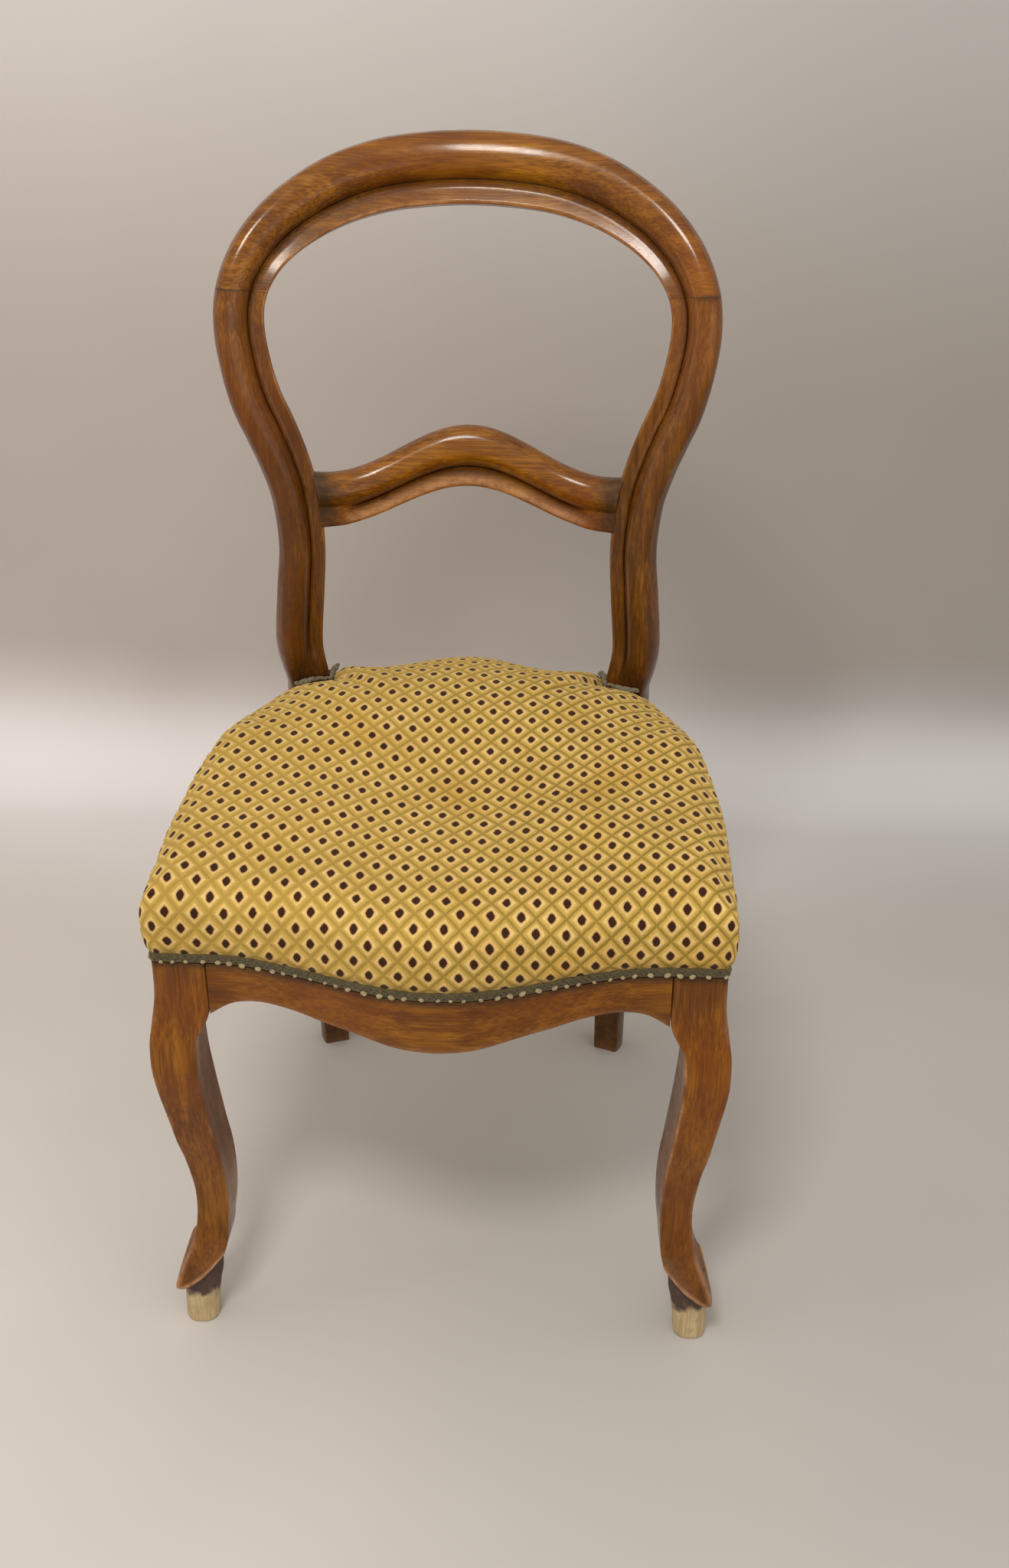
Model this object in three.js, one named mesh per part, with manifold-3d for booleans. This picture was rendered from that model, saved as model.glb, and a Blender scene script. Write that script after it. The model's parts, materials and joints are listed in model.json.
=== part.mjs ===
// Balloon back side chair with a stuffed-over, sprung seat.
// Millimetres, +Z up. The front of the chair faces -Y and +X is to the right seen from the front.
import * as THREE from 'three';
import { mergeVertices } from 'three/addons/utils/BufferGeometryUtils.js';
import Module from 'manifold-3d';

const wasm = await Module();
wasm.setup();

// Clearances
const JOINT_GAP = 0.35;
const CLOTH_GAP = 0.5;
const LAYER_GAP = 0.8;

// Back: face of the posts and crest lies on one hollow, leaning surface
const SEAT_LINE = 434;
const BACK_RISE = 474;
const BALLOON_HALF = 210.8;
const BACK_LEAN = 83;
const BACK_RADIUS = 385;
const POST_FACE = 37.5;
const CREST_FACE = 58;
const POST_DEPTH = 28;
const CREST_DEPTH = 30;
const ROLL_RISE = 6.6;
const MOULDING_FADE = 38;
const BALLOON_SPLAY_SHARE = 0.45;

// Rear legs, in one piece with the posts
const HEEL_SWEEP = 31;
const REAR_FOOT_SPAN = 152.5;
const REAR_FOOT_WIDTH = 24;
const REAR_FOOT_DEPTH = 27;
const RAIL_ZONE_DEPTH = 34;

// Middle rail of the back
const MID_RISE = 234;
const MID_TOP = SEAT_LINE + MID_RISE;
const MID_HUMP = 37.5;
const MID_REACH = 117;
const MID_CENTRE_HEIGHT = 53;
const MID_END_HEIGHT = 47;
const MID_DEPTH = 22;
const MID_SETBACK = 1.5;
const MID_FLARE = 4;
const MID_STOP = 26;

// Seat frame
const RAIL_DROP = 30;
const RAIL_HEIGHT = 52;
const RAIL_TOP = SEAT_LINE - RAIL_DROP;
const RAIL_UNDERSIDE = RAIL_TOP - RAIL_HEIGHT;
const RAIL_THICKNESS = 26;
const SEAT_HALF = 220;
const SEAT_FRONT = 191;
const SEAT_DEPTH = 396;
const BACK_STANCE = SEAT_DEPTH - SEAT_FRONT;
const FRONT_BOW = 41;
const APRON_THICKNESS = 13;
const APRON_DROP = 17;
const EDGE_ROUND = 2;
const APRON_SHALLOW = RAIL_UNDERSIDE - EDGE_ROUND;
const REBATE_DEPTH = 3.2;
const REBATE_HEIGHT = 23;
const REBATE_LINE = RAIL_TOP - REBATE_HEIGHT;
const REBATE_STEP = 0.6;
const BACK_RAIL_SETBACK = 17;
const BACK_RAIL_Y = BACK_STANCE - BACK_RAIL_SETBACK;
const BACK_RAIL_BOW = 5;
const BACK_RAIL_THICKNESS = 21;

// Front legs
const LEG_BLOCK = 42;
const KNEE_SWELL = 7;
const TOE_HEIGHT = 46;
const TOE_LIFT = 34;
const TOE_FADE = 58;
const SHIN_FLARE = 5;
const PEG_RADIUS = 14;
const PEG_INSET = 9.5;
const PEG_DEPTH_INSET = 17;
const PEG_TOP = 88;

// Joinery
const TENON_THICKNESS = 8;
const TENON_LENGTH = 18;
const BACK_TENON_LENGTH = 7;
const TENON_SHOULDER = 8;
const TENON_ROOT = 3;
const MID_TENON_LENGTH = 14;
const MID_TENON_HEIGHT = 26;
const DOWEL_RADIUS = 4.5;
const DOWEL_HALF = 18;
const BLOCK_REACH = 40;
const BLOCK_HEIGHT = 38;
const BLOCK_DROP = 7;
const SCREW_RADIUS = 2;
const SCREW_HEAD_RADIUS = 4;
const SCREW_HEAD_HEIGHT = 2.6;
const SCREW_LENGTH = 30;
const SCREW_BITE = 13;

// Springing
const WEB_WIDTH = 50;
const WEB_THICKNESS = 1.7;
const WEB_PITCH_X = 68;
const WEB_LEG_CLEAR = 14;
const WEB_FORWARD = 25;
const WEB_CENTRE_Y = (BACK_STANCE - SEAT_FRONT) / 2 - WEB_FORWARD;
const WEB_END_MARGIN = 6;
const SPRING_END_RADIUS = 30;
const SPRING_WAIST_RADIUS = 20;
const SPRING_WIRE_RADIUS = 1.7;
const SPRING_TURNS = 5;
const CANVAS_THICKNESS = 1.2;
const CANVAS_INSET = 9;
const CANVAS_RISE = 25;
const CANVAS_CROWN = RAIL_TOP + CANVAS_RISE;

// Seat covering
const CLOTH_THICKNESS = 2;
const GIMP_HEIGHT = 10;
const GIMP_LINE = REBATE_LINE + 0.6 * GIMP_HEIGHT;
const GIMP_THICKNESS = 1.8;
const PAD_HEIGHT = 55.5;
const SHOULDER_HEIGHT = 28;
const SEAT_CROWN = RAIL_TOP + PAD_HEIGHT;
const SEAT_SHOULDER = RAIL_TOP + SHOULDER_HEIGHT;
const SEAT_BULGE = 6;
const SEAT_ROLL = 14;
const POST_CLEAR = 2.2;
const EDGE_LIFT = 8;
const POST_DIP = 25;
const SEAT_RISE = 23;
const RISE_FORWARD = 32;
const RISE_START = WEB_CENTRE_Y - RISE_FORWARD;
const RISE_END = RISE_START + SEAT_DEPTH / 2;
const HOLLOW_DEPTH = 6;
const HOLLOW_FORWARD = 42;
const HOLLOW_REACH = 0.6 * SEAT_HALF;

const WALNUT = { color: 0x7a4520, roughness: 0.35, metalness: 0 };
const BEECH = { color: 0xb08a5a, roughness: 0.7, metalness: 0 };
const STEEL = { color: 0x8c8a86, roughness: 0.4, metalness: 0.9 };
const JUTE = { color: 0xa98a5c, roughness: 0.95, metalness: 0 };
const HAIR = { color: 0x3c2f24, roughness: 1, metalness: 0 };
const VELVET = { color: 0xd0ab5c, roughness: 0.9, metalness: 0 };
const BRAID = { color: 0x555744, roughness: 0.85, metalness: 0 };

// Outer edge of the back, from the seat line to the middle of the crown:
// across share of BALLOON_HALF, height share of BACK_RISE, face share from POST_FACE to CREST_FACE.
const BACK_EDGE_SHARES = [
  [0.759, 0.0, -0.15], [0.796, 0.084, -0.02], [0.787, 0.192, 0.03], [0.775, 0.283, 0.0],
  [0.796, 0.369, 0.03], [0.834, 0.428, 0.09], [0.885, 0.487, 0.13], [0.937, 0.544, 0.12],
  [0.974, 0.608, 0.09], [0.998, 0.676, 0.08], [0.999, 0.735, 0.14], [0.972, 0.79, 0.28],
  [0.911, 0.845, 0.48], [0.815, 0.894, 0.66], [0.695, 0.933, 0.8], [0.55, 0.965, 0.92],
  [0.375, 0.987, 0.98], [0.187, 0.997, 1.0], [0.0, 1.0, 1.0],
];
const CREST_JOINT_SHARE = 0.578;

// Face of the posts, crest and middle rail, from the outer edge round to the back:
// across share, depth share of the piece's depth, rise share of ROLL_RISE.
const MOULDING_SHARES = [
  [0.0, 0.36, 0.0], [0.02, 0.14, -0.1], [0.09, 0.03, 0.35], [0.2, 0.0, 0.8], [0.34, 0.0, 1.0],
  [0.48, 0.0, 0.86], [0.6, 0.0, 0.4], [0.67, 0.0, -0.22], [0.695, 0.0, -0.6], [0.725, 0.0, -0.42],
  [0.77, 0.0, -0.75], [0.83, 0.0, -0.95], [0.9, 0.0, -0.85], [0.965, 0.01, -0.5],
  [1.0, 0.06, -0.5], [1.0, 0.75, 0.0], [0.95, 0.95, 0.0], [0.7, 1.0, 0.0], [0.35, 0.99, 0.0],
  [0.12, 0.9, 0.0], [0.02, 0.66, 0.0],
];

// Rear leg from the floor to the seat line: height share, outer edge share and width share
// on the way from the foot to the post base, depth share on the way to RAIL_ZONE_DEPTH.
const REAR_LEG_SHARES = [
  [0.0, 0.0, 0.0, 0.0], [0.15, 0.06, 0.14, 0.12], [0.35, 0.28, 0.4, 0.4], [0.6, 0.62, 0.76, 0.78],
  [0.8, 0.86, 0.96, 1.0], [0.93, 0.97, 1.0, 0.95], [1.0, 1.0, 1.0, 0.6],
];

// Front leg: height share of RAIL_TOP, sway share of KNEE_SWELL, thickness share of LEG_BLOCK.
const LEG_SHARES = [
  [0.0, 0.3, 0.98], [0.11, 0.57, 0.96], [0.124, 1.0, 0.93], [0.139, 0.86, 0.9], [0.168, 0.2, 0.81],
  [0.198, -0.57, 0.74], [0.223, -1.21, 0.695], [0.257, -1.64, 0.64], [0.297, -1.86, 0.63],
  [0.347, -1.86, 0.63], [0.396, -1.57, 0.66], [0.446, -1.14, 0.7], [0.495, -0.57, 0.74],
  [0.545, -0.14, 0.765], [0.594, 0.29, 0.79], [0.644, 0.71, 0.82], [0.693, 1.0, 0.855],
  [0.743, 1.0, 0.87], [0.77, 0.88, 0.88], [0.787, 0.71, 0.93], [0.819, 0.43, 1.035],
  [0.851, 0.14, 1.024], [0.891, 0.0, 1.0], [1.0, 0.0, 1.0],
];

// Lower edge of the front rail: across share of half the rail, drop share of APRON_DROP.
const APRON_SHARES = [
  [0.0, 1.0], [0.17, 0.88], [0.35, 0.5], [0.49, 0.3], [0.62, 0.08], [0.76, 0.0], [0.845, 0.12],
  [0.9, 0.3], [0.95, 0.62], [1.0, 1.0],
];

// Outer face of a side rail from the front leg to the rear post: along share, inward share.
const SIDE_SHARES = [
  [0.0, 0.0], [0.184, 0.0], [0.372, 0.05], [0.544, 0.175], [0.709, 0.37], [0.856, 0.64], [1.0, 1.0],
];

const lerp = THREE.MathUtils.lerp;
const V = (x, y, z) => new THREE.Vector3(x, y, z);

// Smooth curve through a table of rows whose first column rises.
function smooth(table, key, column = 1) {
  let i = 0;
  while (i < table.length - 2 && key > table[i + 1][0]) i += 1;
  const [a, b] = [table[i], table[i + 1]];
  const before = table[Math.max(i - 1, 0)];
  const after = table[Math.min(i + 2, table.length - 1)];
  const span = b[0] - a[0];
  const t = THREE.MathUtils.clamp((key - a[0]) / span, 0, 1);
  const slopeA = (b[column] - before[column]) / (b[0] - before[0]);
  const slopeB = (after[column] - a[column]) / (after[0] - a[0]);
  const [t2, t3] = [t * t, t * t * t];
  return (2 * t3 - 3 * t2 + 1) * a[column] + (t3 - 2 * t2 + t) * span * slopeA
    + (3 * t2 - 2 * t3) * b[column] + (t3 - t2) * span * slopeB;
}

// Fade from 0 to 1 as value passes from start to end.
const fade = (value, start, end) => THREE.MathUtils.smoothstep(value, start, end);

// Geometry and solids

function ringNormal(ring) {
  const normal = V(0, 0, 0);
  ring.forEach((p, i) => {
    const q = ring[(i + 1) % ring.length];
    normal.x += (p.y - q.y) * (p.z + q.z);
    normal.y += (p.z - q.z) * (p.x + q.x);
    normal.z += (p.x - q.x) * (p.y + q.y);
  });
  return normal.normalize();
}

function capTriangles(ring, first) {
  const normal = ringNormal(ring);
  const helper = Math.abs(normal.z) < 0.9 ? V(0, 0, 1) : V(1, 0, 0);
  const u = helper.clone().cross(normal).normalize();
  const v = normal.clone().cross(u);
  const flat = ring.map((p) => new THREE.Vector2(p.dot(u), p.dot(v)));
  return THREE.ShapeUtils.triangulateShape(flat, []).map((face) => face.map((k) => k + first));
}

function indexed(points, faces) {
  const geometry = new THREE.BufferGeometry();
  const numbers = points.flatMap((p) => p.toArray());
  geometry.setAttribute('position', new THREE.Float32BufferAttribute(numbers, 3));
  let volume = 0;
  for (const [a, b, c] of faces) {
    volume += points[a].dot(points[b].clone().cross(points[c]));
  }
  geometry.setIndex(volume < 0 ? faces.flatMap(([a, b, c]) => [a, c, b]) : faces.flat());
  return geometry;
}

// Closed skin over rings of equal count, with both ends capped.
function loft(rings) {
  const count = rings[0].length;
  const faces = [];
  for (let r = 0; r < rings.length - 1; r += 1) {
    for (let i = 0; i < count; i += 1) {
      const [a, b] = [r * count + i, r * count + ((i + 1) % count)];
      faces.push([a, b, b + count], [a, b + count, a + count]);
    }
  }
  const last = (rings.length - 1) * count;
  faces.push(...capTriangles(rings[0], 0).map(([a, b, c]) => [a, c, b]));
  faces.push(...capTriangles(rings[rings.length - 1], last));
  return indexed(rings.flat(), faces);
}

// Closed skin over rings that start and end at a single pole point.
function shell(startPole, rings, endPole) {
  const count = rings[0].length;
  const points = [startPole, ...rings.flat(), endPole];
  const faces = [];
  for (let i = 0; i < count; i += 1) {
    const next = (i + 1) % count;
    faces.push([0, 1 + next, 1 + i]);
    for (let r = 0; r < rings.length - 1; r += 1) {
      const [a, b] = [1 + r * count + i, 1 + r * count + next];
      faces.push([a, b, b + count], [a, b + count, a + count]);
    }
    const last = 1 + (rings.length - 1) * count;
    faces.push([last + i, last + next, points.length - 1]);
  }
  return indexed(points, faces);
}

// Box with its middle at centre and the given axes and full sizes.
function slab(centre, axes, sizes) {
  const ring = (end) => [[-1, -1], [1, -1], [1, 1], [-1, 1]].map(([i, j]) => centre.clone()
    .addScaledVector(axes[0], end * sizes[0] / 2)
    .addScaledVector(axes[1], i * sizes[1] / 2)
    .addScaledVector(axes[2], j * sizes[2] / 2));
  return loft([ring(-1), ring(1)]);
}

function solid(geometry) {
  const bare = new THREE.BufferGeometry();
  bare.setAttribute('position', geometry.getAttribute('position').clone());
  if (geometry.index) bare.setIndex(geometry.index.clone());
  const merged = mergeVertices(bare);
  return new wasm.Manifold(new wasm.Mesh({
    numProp: 3,
    vertProperties: new Float32Array(merged.getAttribute('position').array),
    triVerts: new Uint32Array(merged.index.array),
  }));
}

function unsolid(manifold) {
  const mesh = manifold.getMesh();
  const geometry = new THREE.BufferGeometry();
  geometry.setAttribute('position', new THREE.Float32BufferAttribute(mesh.vertProperties, 3));
  geometry.setIndex(Array.from(mesh.triVerts));
  return geometry;
}

function joined(geometry, ...tools) {
  return unsolid(tools.reduce((body, tool) => body.add(solid(tool)), solid(geometry)));
}

function cutBy(geometry, ...tools) {
  return unsolid(tools.reduce((body, tool) => body.subtract(solid(tool)), solid(geometry)));
}

// The main body of a piece whose corners were cut off loose.
function largestOf(geometry) {
  const bodies = solid(geometry).decompose();
  return unsolid(bodies.reduce((best, body) => (body.volume() > best.volume() ? body : best)));
}

const mirrored = (geometry) => {
  const twin = geometry.clone();
  twin.scale(-1, 1, 1);
  const index = twin.index.array;
  for (let i = 0; i < index.length; i += 3) [index[i], index[i + 1]] = [index[i + 1], index[i]];
  return twin;
};

// Back surface

const HEEL_POWER = 1.8;

function sweepAt(z) {
  if (z > SEAT_LINE) return BACK_LEAN * ((z - SEAT_LINE) / BACK_RISE) ** 2;
  return HEEL_SWEEP * ((SEAT_LINE - z) / SEAT_LINE) ** HEEL_POWER;
}

const backY = (x, z) => BACK_STANCE + sweepAt(z) - (x * x) / (2 * BACK_RADIUS);

// Unit vector into the back. It is level and square to the face up to the seat line, then leans
// with the back and splays less as the balloon widens.
function backNormal(x, z) {
  const rise = Math.max(z - SEAT_LINE, 0) / BACK_RISE;
  const splay = lerp(1, BALLOON_SPLAY_SHARE, fade(rise, 0, 0.6));
  return V((splay * x) / BACK_RADIUS, 1, (-2 * BACK_LEAN * rise) / BACK_RISE).normalize();
}

const onBack = (x, z, depth) => V(x, backY(x, z), z).addScaledVector(backNormal(x, z), depth);

// Row of the edge table at any place, mirrored past the middle of the crown.
function edgeRow(place) {
  const last = BACK_EDGE_SHARES.length - 1;
  if (place < 0) {
    const [base, next] = BACK_EDGE_SHARES;
    return base.map((value, k) => 2 * value - next[k]);
  }
  if (place <= last) return BACK_EDGE_SHARES[place];
  const [x, z, face] = BACK_EDGE_SHARES[2 * last - place];
  return [-x, z, face];
}

function edgeAt(place) {
  const i = Math.floor(place);
  const rows = [i - 1, i, i + 1, i + 2].map(edgeRow);
  const t = place - i;
  const value = [0, 1, 2].map((k) => {
    const [a, b, c, d] = rows.map((row) => row[k]);
    return b + 0.5 * t * (c - a + t * (2 * a - 5 * b + 4 * c - d + t * (3 * (b - c) + d - a)));
  });
  return [value[0] * BALLOON_HALF, SEAT_LINE + value[1] * BACK_RISE, value[2]];
}

// Outer and inner edge of the face at a place along the back, and the depth there.
function backStation(place) {
  const step = 0.02;
  const [x, z, face] = edgeAt(place);
  const [xa, za] = edgeAt(Math.max(place - step, 0));
  const [xb, zb] = edgeAt(place + step);
  const along = new THREE.Vector2(xb - xa, zb - za).normalize();
  const width = lerp(POST_FACE, CREST_FACE, face);
  const middle = BACK_EDGE_SHARES.length - 1;
  return {
    outer: [x, z],
    inner: [x - along.y * width, z + along.x * width],
    depth: lerp(POST_DEPTH, CREST_DEPTH, fade(place, middle / 2, middle)),
  };
}

// One section of a moulded member on the back surface; spotAt gives x and z at a share across it.
function mouldedRing(spotAt, depth, roll, groove, setback = 0) {
  return MOULDING_SHARES.map(([across, back, rise]) => {
    const relief = rise * ROLL_RISE * (rise > 0 ? roll : groove);
    return onBack(...spotAt(across), setback + back * depth - relief);
  });
}

const between = (outer, inner) => (across) => [0, 1].map((k) => lerp(outer[k], inner[k], across));

const LAST_PLACE = BACK_EDGE_SHARES.length - 1;
const JOINT_PLACE = CREST_JOINT_SHARE * LAST_PLACE;

function rearLegStation(share) {
  const column = (k) => smooth(REAR_LEG_SHARES, share, k);
  const base = backStation(0);
  const outerX = lerp(REAR_FOOT_SPAN, base.outer[0], column(1));
  const width = lerp(REAR_FOOT_WIDTH, base.outer[0] - base.inner[0], column(2));
  const depth = lerp(REAR_FOOT_DEPTH, RAIL_ZONE_DEPTH, column(3));
  const z = share * SEAT_LINE;
  return { outer: [outerX, z], inner: [outerX - width, z], depth };
}

function postRings(grow = 0) {
  const rings = [];
  const grown = ({ outer, inner, depth }, roll) => {
    const wide = new THREE.Vector2(outer[0] - inner[0], outer[1] - inner[1]).normalize();
    return mouldedRing(between(
      [outer[0] + wide.x * grow, outer[1] + wide.y * grow],
      [inner[0] - wide.x * grow, inner[1] - wide.y * grow],
    ), depth + 2 * grow, roll, roll, -grow);
  };
  const legSteps = 9;
  for (let i = 0; i < legSteps; i += 1) rings.push(grown(rearLegStation(i / legSteps), 0));
  const backSteps = 18;
  const end = JOINT_PLACE - JOINT_GAP / BACK_RISE;
  for (let i = 0; i <= backSteps; i += 1) {
    const place = (end * i) / backSteps;
    const station = backStation(place);
    if (i === 0) station.depth = rearLegStation(1).depth;
    rings.push(grown(station, fade(station.outer[1], SEAT_LINE, SEAT_LINE + MOULDING_FADE)));
  }
  return rings;
}

// Path place where the crest meets a post, and the dowel across that joint.
function dowelAxis() {
  const reach = 0.05;
  const centreOf = (place) => {
    const { outer, inner, depth } = backStation(place);
    const middleShare = 0.42;
    return onBack(lerp(outer[0], inner[0], middleShare), lerp(outer[1], inner[1], middleShare), depth / 2);
  };
  const centre = centreOf(JOINT_PLACE);
  const along = centreOf(JOINT_PLACE + reach).sub(centreOf(JOINT_PLACE - reach)).normalize();
  return { centre, along };
}

function rod(centre, along, radius, halfLength, sides = 12) {
  const helper = Math.abs(along.z) < 0.9 ? V(0, 0, 1) : V(1, 0, 0);
  const u = helper.clone().cross(along).normalize();
  const v = along.clone().cross(u);
  const ring = (end) => Array.from({ length: sides }, (_, k) => {
    const angle = (2 * Math.PI * k) / sides;
    return centre.clone().addScaledVector(along, end * halfLength)
      .addScaledVector(u, Math.cos(angle) * radius).addScaledVector(v, Math.sin(angle) * radius);
  });
  return loft([ring(-1), ring(1)]);
}

// Middle rail

const midHump = (x) => (Math.abs(x) < MID_REACH ? 0.5 + 0.5 * Math.cos((Math.PI * x) / MID_REACH) : 0);

function midFlare(x) {
  const beyond = Math.max(Math.abs(x) - MID_REACH, 0) / (MID_REACH - (MID_REACH - MID_STOP));
  return MID_FLARE * beyond * beyond;
}

const midTop = (x) => MID_TOP - MID_HUMP + MID_HUMP * midHump(x) + midFlare(x);
const midBottom = (x) => midTop(x) - lerp(MID_END_HEIGHT, MID_CENTRE_HEIGHT, midHump(x)) - midFlare(x);

// Inner edge of the right post at a height between seat and widest point.
function postInnerX(z) {
  if (z <= SEAT_LINE) return rearLegStation(z / SEAT_LINE).inner[0];
  let [low, high] = [0, LAST_PLACE / 2];
  for (let i = 0; i < 30; i += 1) {
    const middle = (low + high) / 2;
    if (backStation(middle).inner[1] < z) low = middle; else high = middle;
  }
  return backStation(low).inner[0];
}

// Half length of the middle rail as a share of its reach.
const END_SHARE = 1.14;

function midRings() {
  const steps = 26;
  const rings = [];
  for (let i = 0; i <= steps; i += 1) {
    const side = (2 * i) / steps - 1;
    const reach = MID_REACH * Math.abs(side) * END_SHARE;
    const rollFade = lerp(0.35, 1, 1 - fade(reach, MID_REACH, MID_REACH + MID_STOP));
    const grooveFade = 1 - fade(reach, MID_REACH - MID_STOP, MID_REACH);
    rings.push(mouldedRing((across) => {
      let z = MID_TOP - MID_HUMP - across * MID_END_HEIGHT;
      let x = 0;
      for (let pass = 0; pass < 3; pass += 1) {
        x = side * (postInnerX(z) + MID_SETBACK);
        z = lerp(midTop(x), midBottom(x), across);
      }
      return [x, z];
    }, MID_DEPTH, rollFade, grooveFade, MID_SETBACK));
  }
  return rings;
}

// Tenon at the right end of the middle rail, or the mortise for it.
function midTenon(clearance) {
  const z = MID_TOP - MID_HUMP - MID_END_HEIGHT / 2;
  const x = postInnerX(z);
  const normal = backNormal(x, z);
  const across = V(normal.y, -normal.x, 0).normalize();
  const up = across.clone().cross(normal).normalize();
  const centre = onBack(x, z, MID_SETBACK + MID_DEPTH / 2);
  return slab(centre, [across, normal, up], [
    2 * (MID_TENON_LENGTH + clearance), TENON_THICKNESS + 2 * clearance, MID_TENON_HEIGHT + 2 * clearance,
  ]);
}

// Front legs

const legSway = (z) => KNEE_SWELL * smooth(LEG_SHARES, z / RAIL_TOP, 1);
const legThick = (z) => LEG_BLOCK * smooth(LEG_SHARES, z / RAIL_TOP, 2);

const TOE_CURVE = 1.7;

// Rounded square of the leg: place across the front and along the side, 0 at the outer front corner.
const LEG_SECTION_SHARES = [
  [0.0, 0.07], [0.02, 0.02], [0.07, 0.0], [0.5, 0.0], [0.93, 0.0], [0.98, 0.02], [1.0, 0.07],
  [1.0, 0.5], [1.0, 0.93], [0.98, 0.98], [0.93, 1.0], [0.5, 1.0], [0.07, 1.0], [0.02, 0.98],
  [0.0, 0.93], [0.0, 0.5],
];

// Height shares between which the shin's inner back corner is drawn out.
const SHIN_SHARES = [0.12, 0.42, 0.62, 0.84];

function shinFlare(z) {
  const share = z / RAIL_TOP;
  const [start, full, fading, end] = SHIN_SHARES;
  return SHIN_FLARE * fade(share, start, full) * (1 - fade(share, fading, end));
}

// Level section of the leg; above the rebate its two outer faces are set back for the cloth.
function legRing(level, lift = 0, rebate = 0) {
  return LEG_SECTION_SHARES.map(([across, along]) => {
    const z = level + lift * Math.max(across, along) ** TOE_CURVE;
    const [sway, thick] = [legSway(z), legThick(z)];
    const flare = shinFlare(z) * across * along;
    return V(
      SEAT_HALF + sway - Math.max(across * thick, rebate) - flare,
      -SEAT_FRONT - sway + Math.max(along * thick, rebate) + flare,
      z,
    );
  });
}

function legShaft() {
  const rings = [];
  const toeSteps = 5;
  for (let i = 0; i < toeSteps; i += 1) {
    const t = i / toeSteps;
    rings.push(legRing(TOE_HEIGHT + t * TOE_FADE, TOE_LIFT * (1 - t)));
  }
  const shaftSteps = 19;
  for (let i = 0; i <= shaftSteps; i += 1) {
    rings.push(legRing(lerp(TOE_HEIGHT + TOE_FADE, REBATE_LINE, i / shaftSteps)));
  }
  rings.push(legRing(REBATE_LINE + REBATE_STEP, 0, REBATE_DEPTH), legRing(RAIL_TOP, 0, REBATE_DEPTH));
  return loft(rings);
}

// Peg foot: radius share and how far its middle moves from the floor spot towards the ankle.
const PEG_SHARES = [
  [0.0, 0.93, 0.0], [0.04, 1.0, 0.0], [0.35, 1.08, 0.1], [0.58, 1.22, 0.22], [0.8, 1.0, 0.45],
  [1.0, 0.66, 0.9],
];

function pegFoot() {
  const floorSpot = V(SEAT_HALF - PEG_INSET, -SEAT_FRONT + PEG_DEPTH_INSET, 0);
  const ankle = legThick(PEG_TOP) / 2;
  const goal = V(SEAT_HALF + legSway(PEG_TOP) - ankle, -SEAT_FRONT - legSway(PEG_TOP) + ankle, 0);
  const sides = 16;
  const squareness = 0.8;
  return loft(PEG_SHARES.map(([height, radius, towards]) => Array.from({ length: sides }, (_, k) => {
    const angle = (2 * Math.PI * (k + 0.5)) / sides;
    const middle = floorSpot.clone().lerp(goal, towards);
    const bend = (value) => Math.sign(value) * Math.abs(value) ** squareness;
    return V(
      middle.x + PEG_RADIUS * radius * bend(Math.cos(angle)),
      middle.y + PEG_RADIUS * radius * bend(Math.sin(angle)),
      height * PEG_TOP,
    );
  })));
}

// Seat rails

const LEG_INNER = SEAT_HALF - LEG_BLOCK;
const LEG_BACK = -SEAT_FRONT + LEG_BLOCK;

function bowY(x) {
  const share = Math.min(Math.abs(x) / LEG_INNER, 1);
  return -SEAT_FRONT - FRONT_BOW * (0.5 + 0.5 * Math.cos(Math.PI * share));
}

const apronZ = (x) => APRON_SHALLOW - APRON_DROP * smooth(APRON_SHARES, Math.abs(x) / LEG_INNER);

function frontRailBody(grow = 0) {
  const steps = 30;
  const half = LEG_INNER - JOINT_GAP + grow;
  return loft(Array.from({ length: steps + 1 }, (_, i) => {
    const x = lerp(-half, half, i / steps);
    const [face, low] = [bowY(x) - grow, apronZ(x) - grow];
    const [inner, underside] = [bowY(x) + RAIL_THICKNESS + grow, RAIL_UNDERSIDE - grow];
    return [
      V(x, face + REBATE_DEPTH, RAIL_TOP + grow),
      V(x, face + REBATE_DEPTH, REBATE_LINE + REBATE_STEP + grow),
      V(x, face, REBATE_LINE + grow), V(x, face, low + EDGE_ROUND), V(x, face + EDGE_ROUND, low),
      V(x, face + APRON_THICKNESS, low), V(x, face + APRON_THICKNESS, underside),
      V(x, inner, underside), V(x, inner, RAIL_TOP + grow),
    ];
  }));
}

// Corner where the outer edge of the right post meets its front face, at rail height.
function postCorner(z = (RAIL_TOP + RAIL_UNDERSIDE) / 2) {
  const { outer } = rearLegStation(z / SEAT_LINE);
  return new THREE.Vector2(outer[0], backY(outer[0], z));
}

// Point of the side rail's outer face, as a share of the way from front leg to post.
function sideAt(share) {
  const corner = postCorner();
  const inward = smooth(SIDE_SHARES, share);
  const x = lerp(SEAT_HALF - EDGE_ROUND / 2, corner.x, inward);
  return new THREE.Vector2(x, lerp(LEG_BACK, corner.y, share));
}

function sideDirection(share) {
  const step = 0.01;
  return sideAt(Math.min(share + step, 1)).sub(sideAt(Math.max(share - step, 0))).normalize();
}

// Distance along a level ray to the front face of the post.
function reachPost(point, direction, z, clearance) {
  let [near, far] = [-RAIL_THICKNESS, 2 * RAIL_THICKNESS];
  for (let i = 0; i < 40; i += 1) {
    const t = (near + far) / 2;
    const [x, y] = [point.x + direction.x * t, point.y + direction.y * t];
    if (y < backY(x, z) - clearance) near = t; else far = t;
  }
  return near;
}

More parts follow.
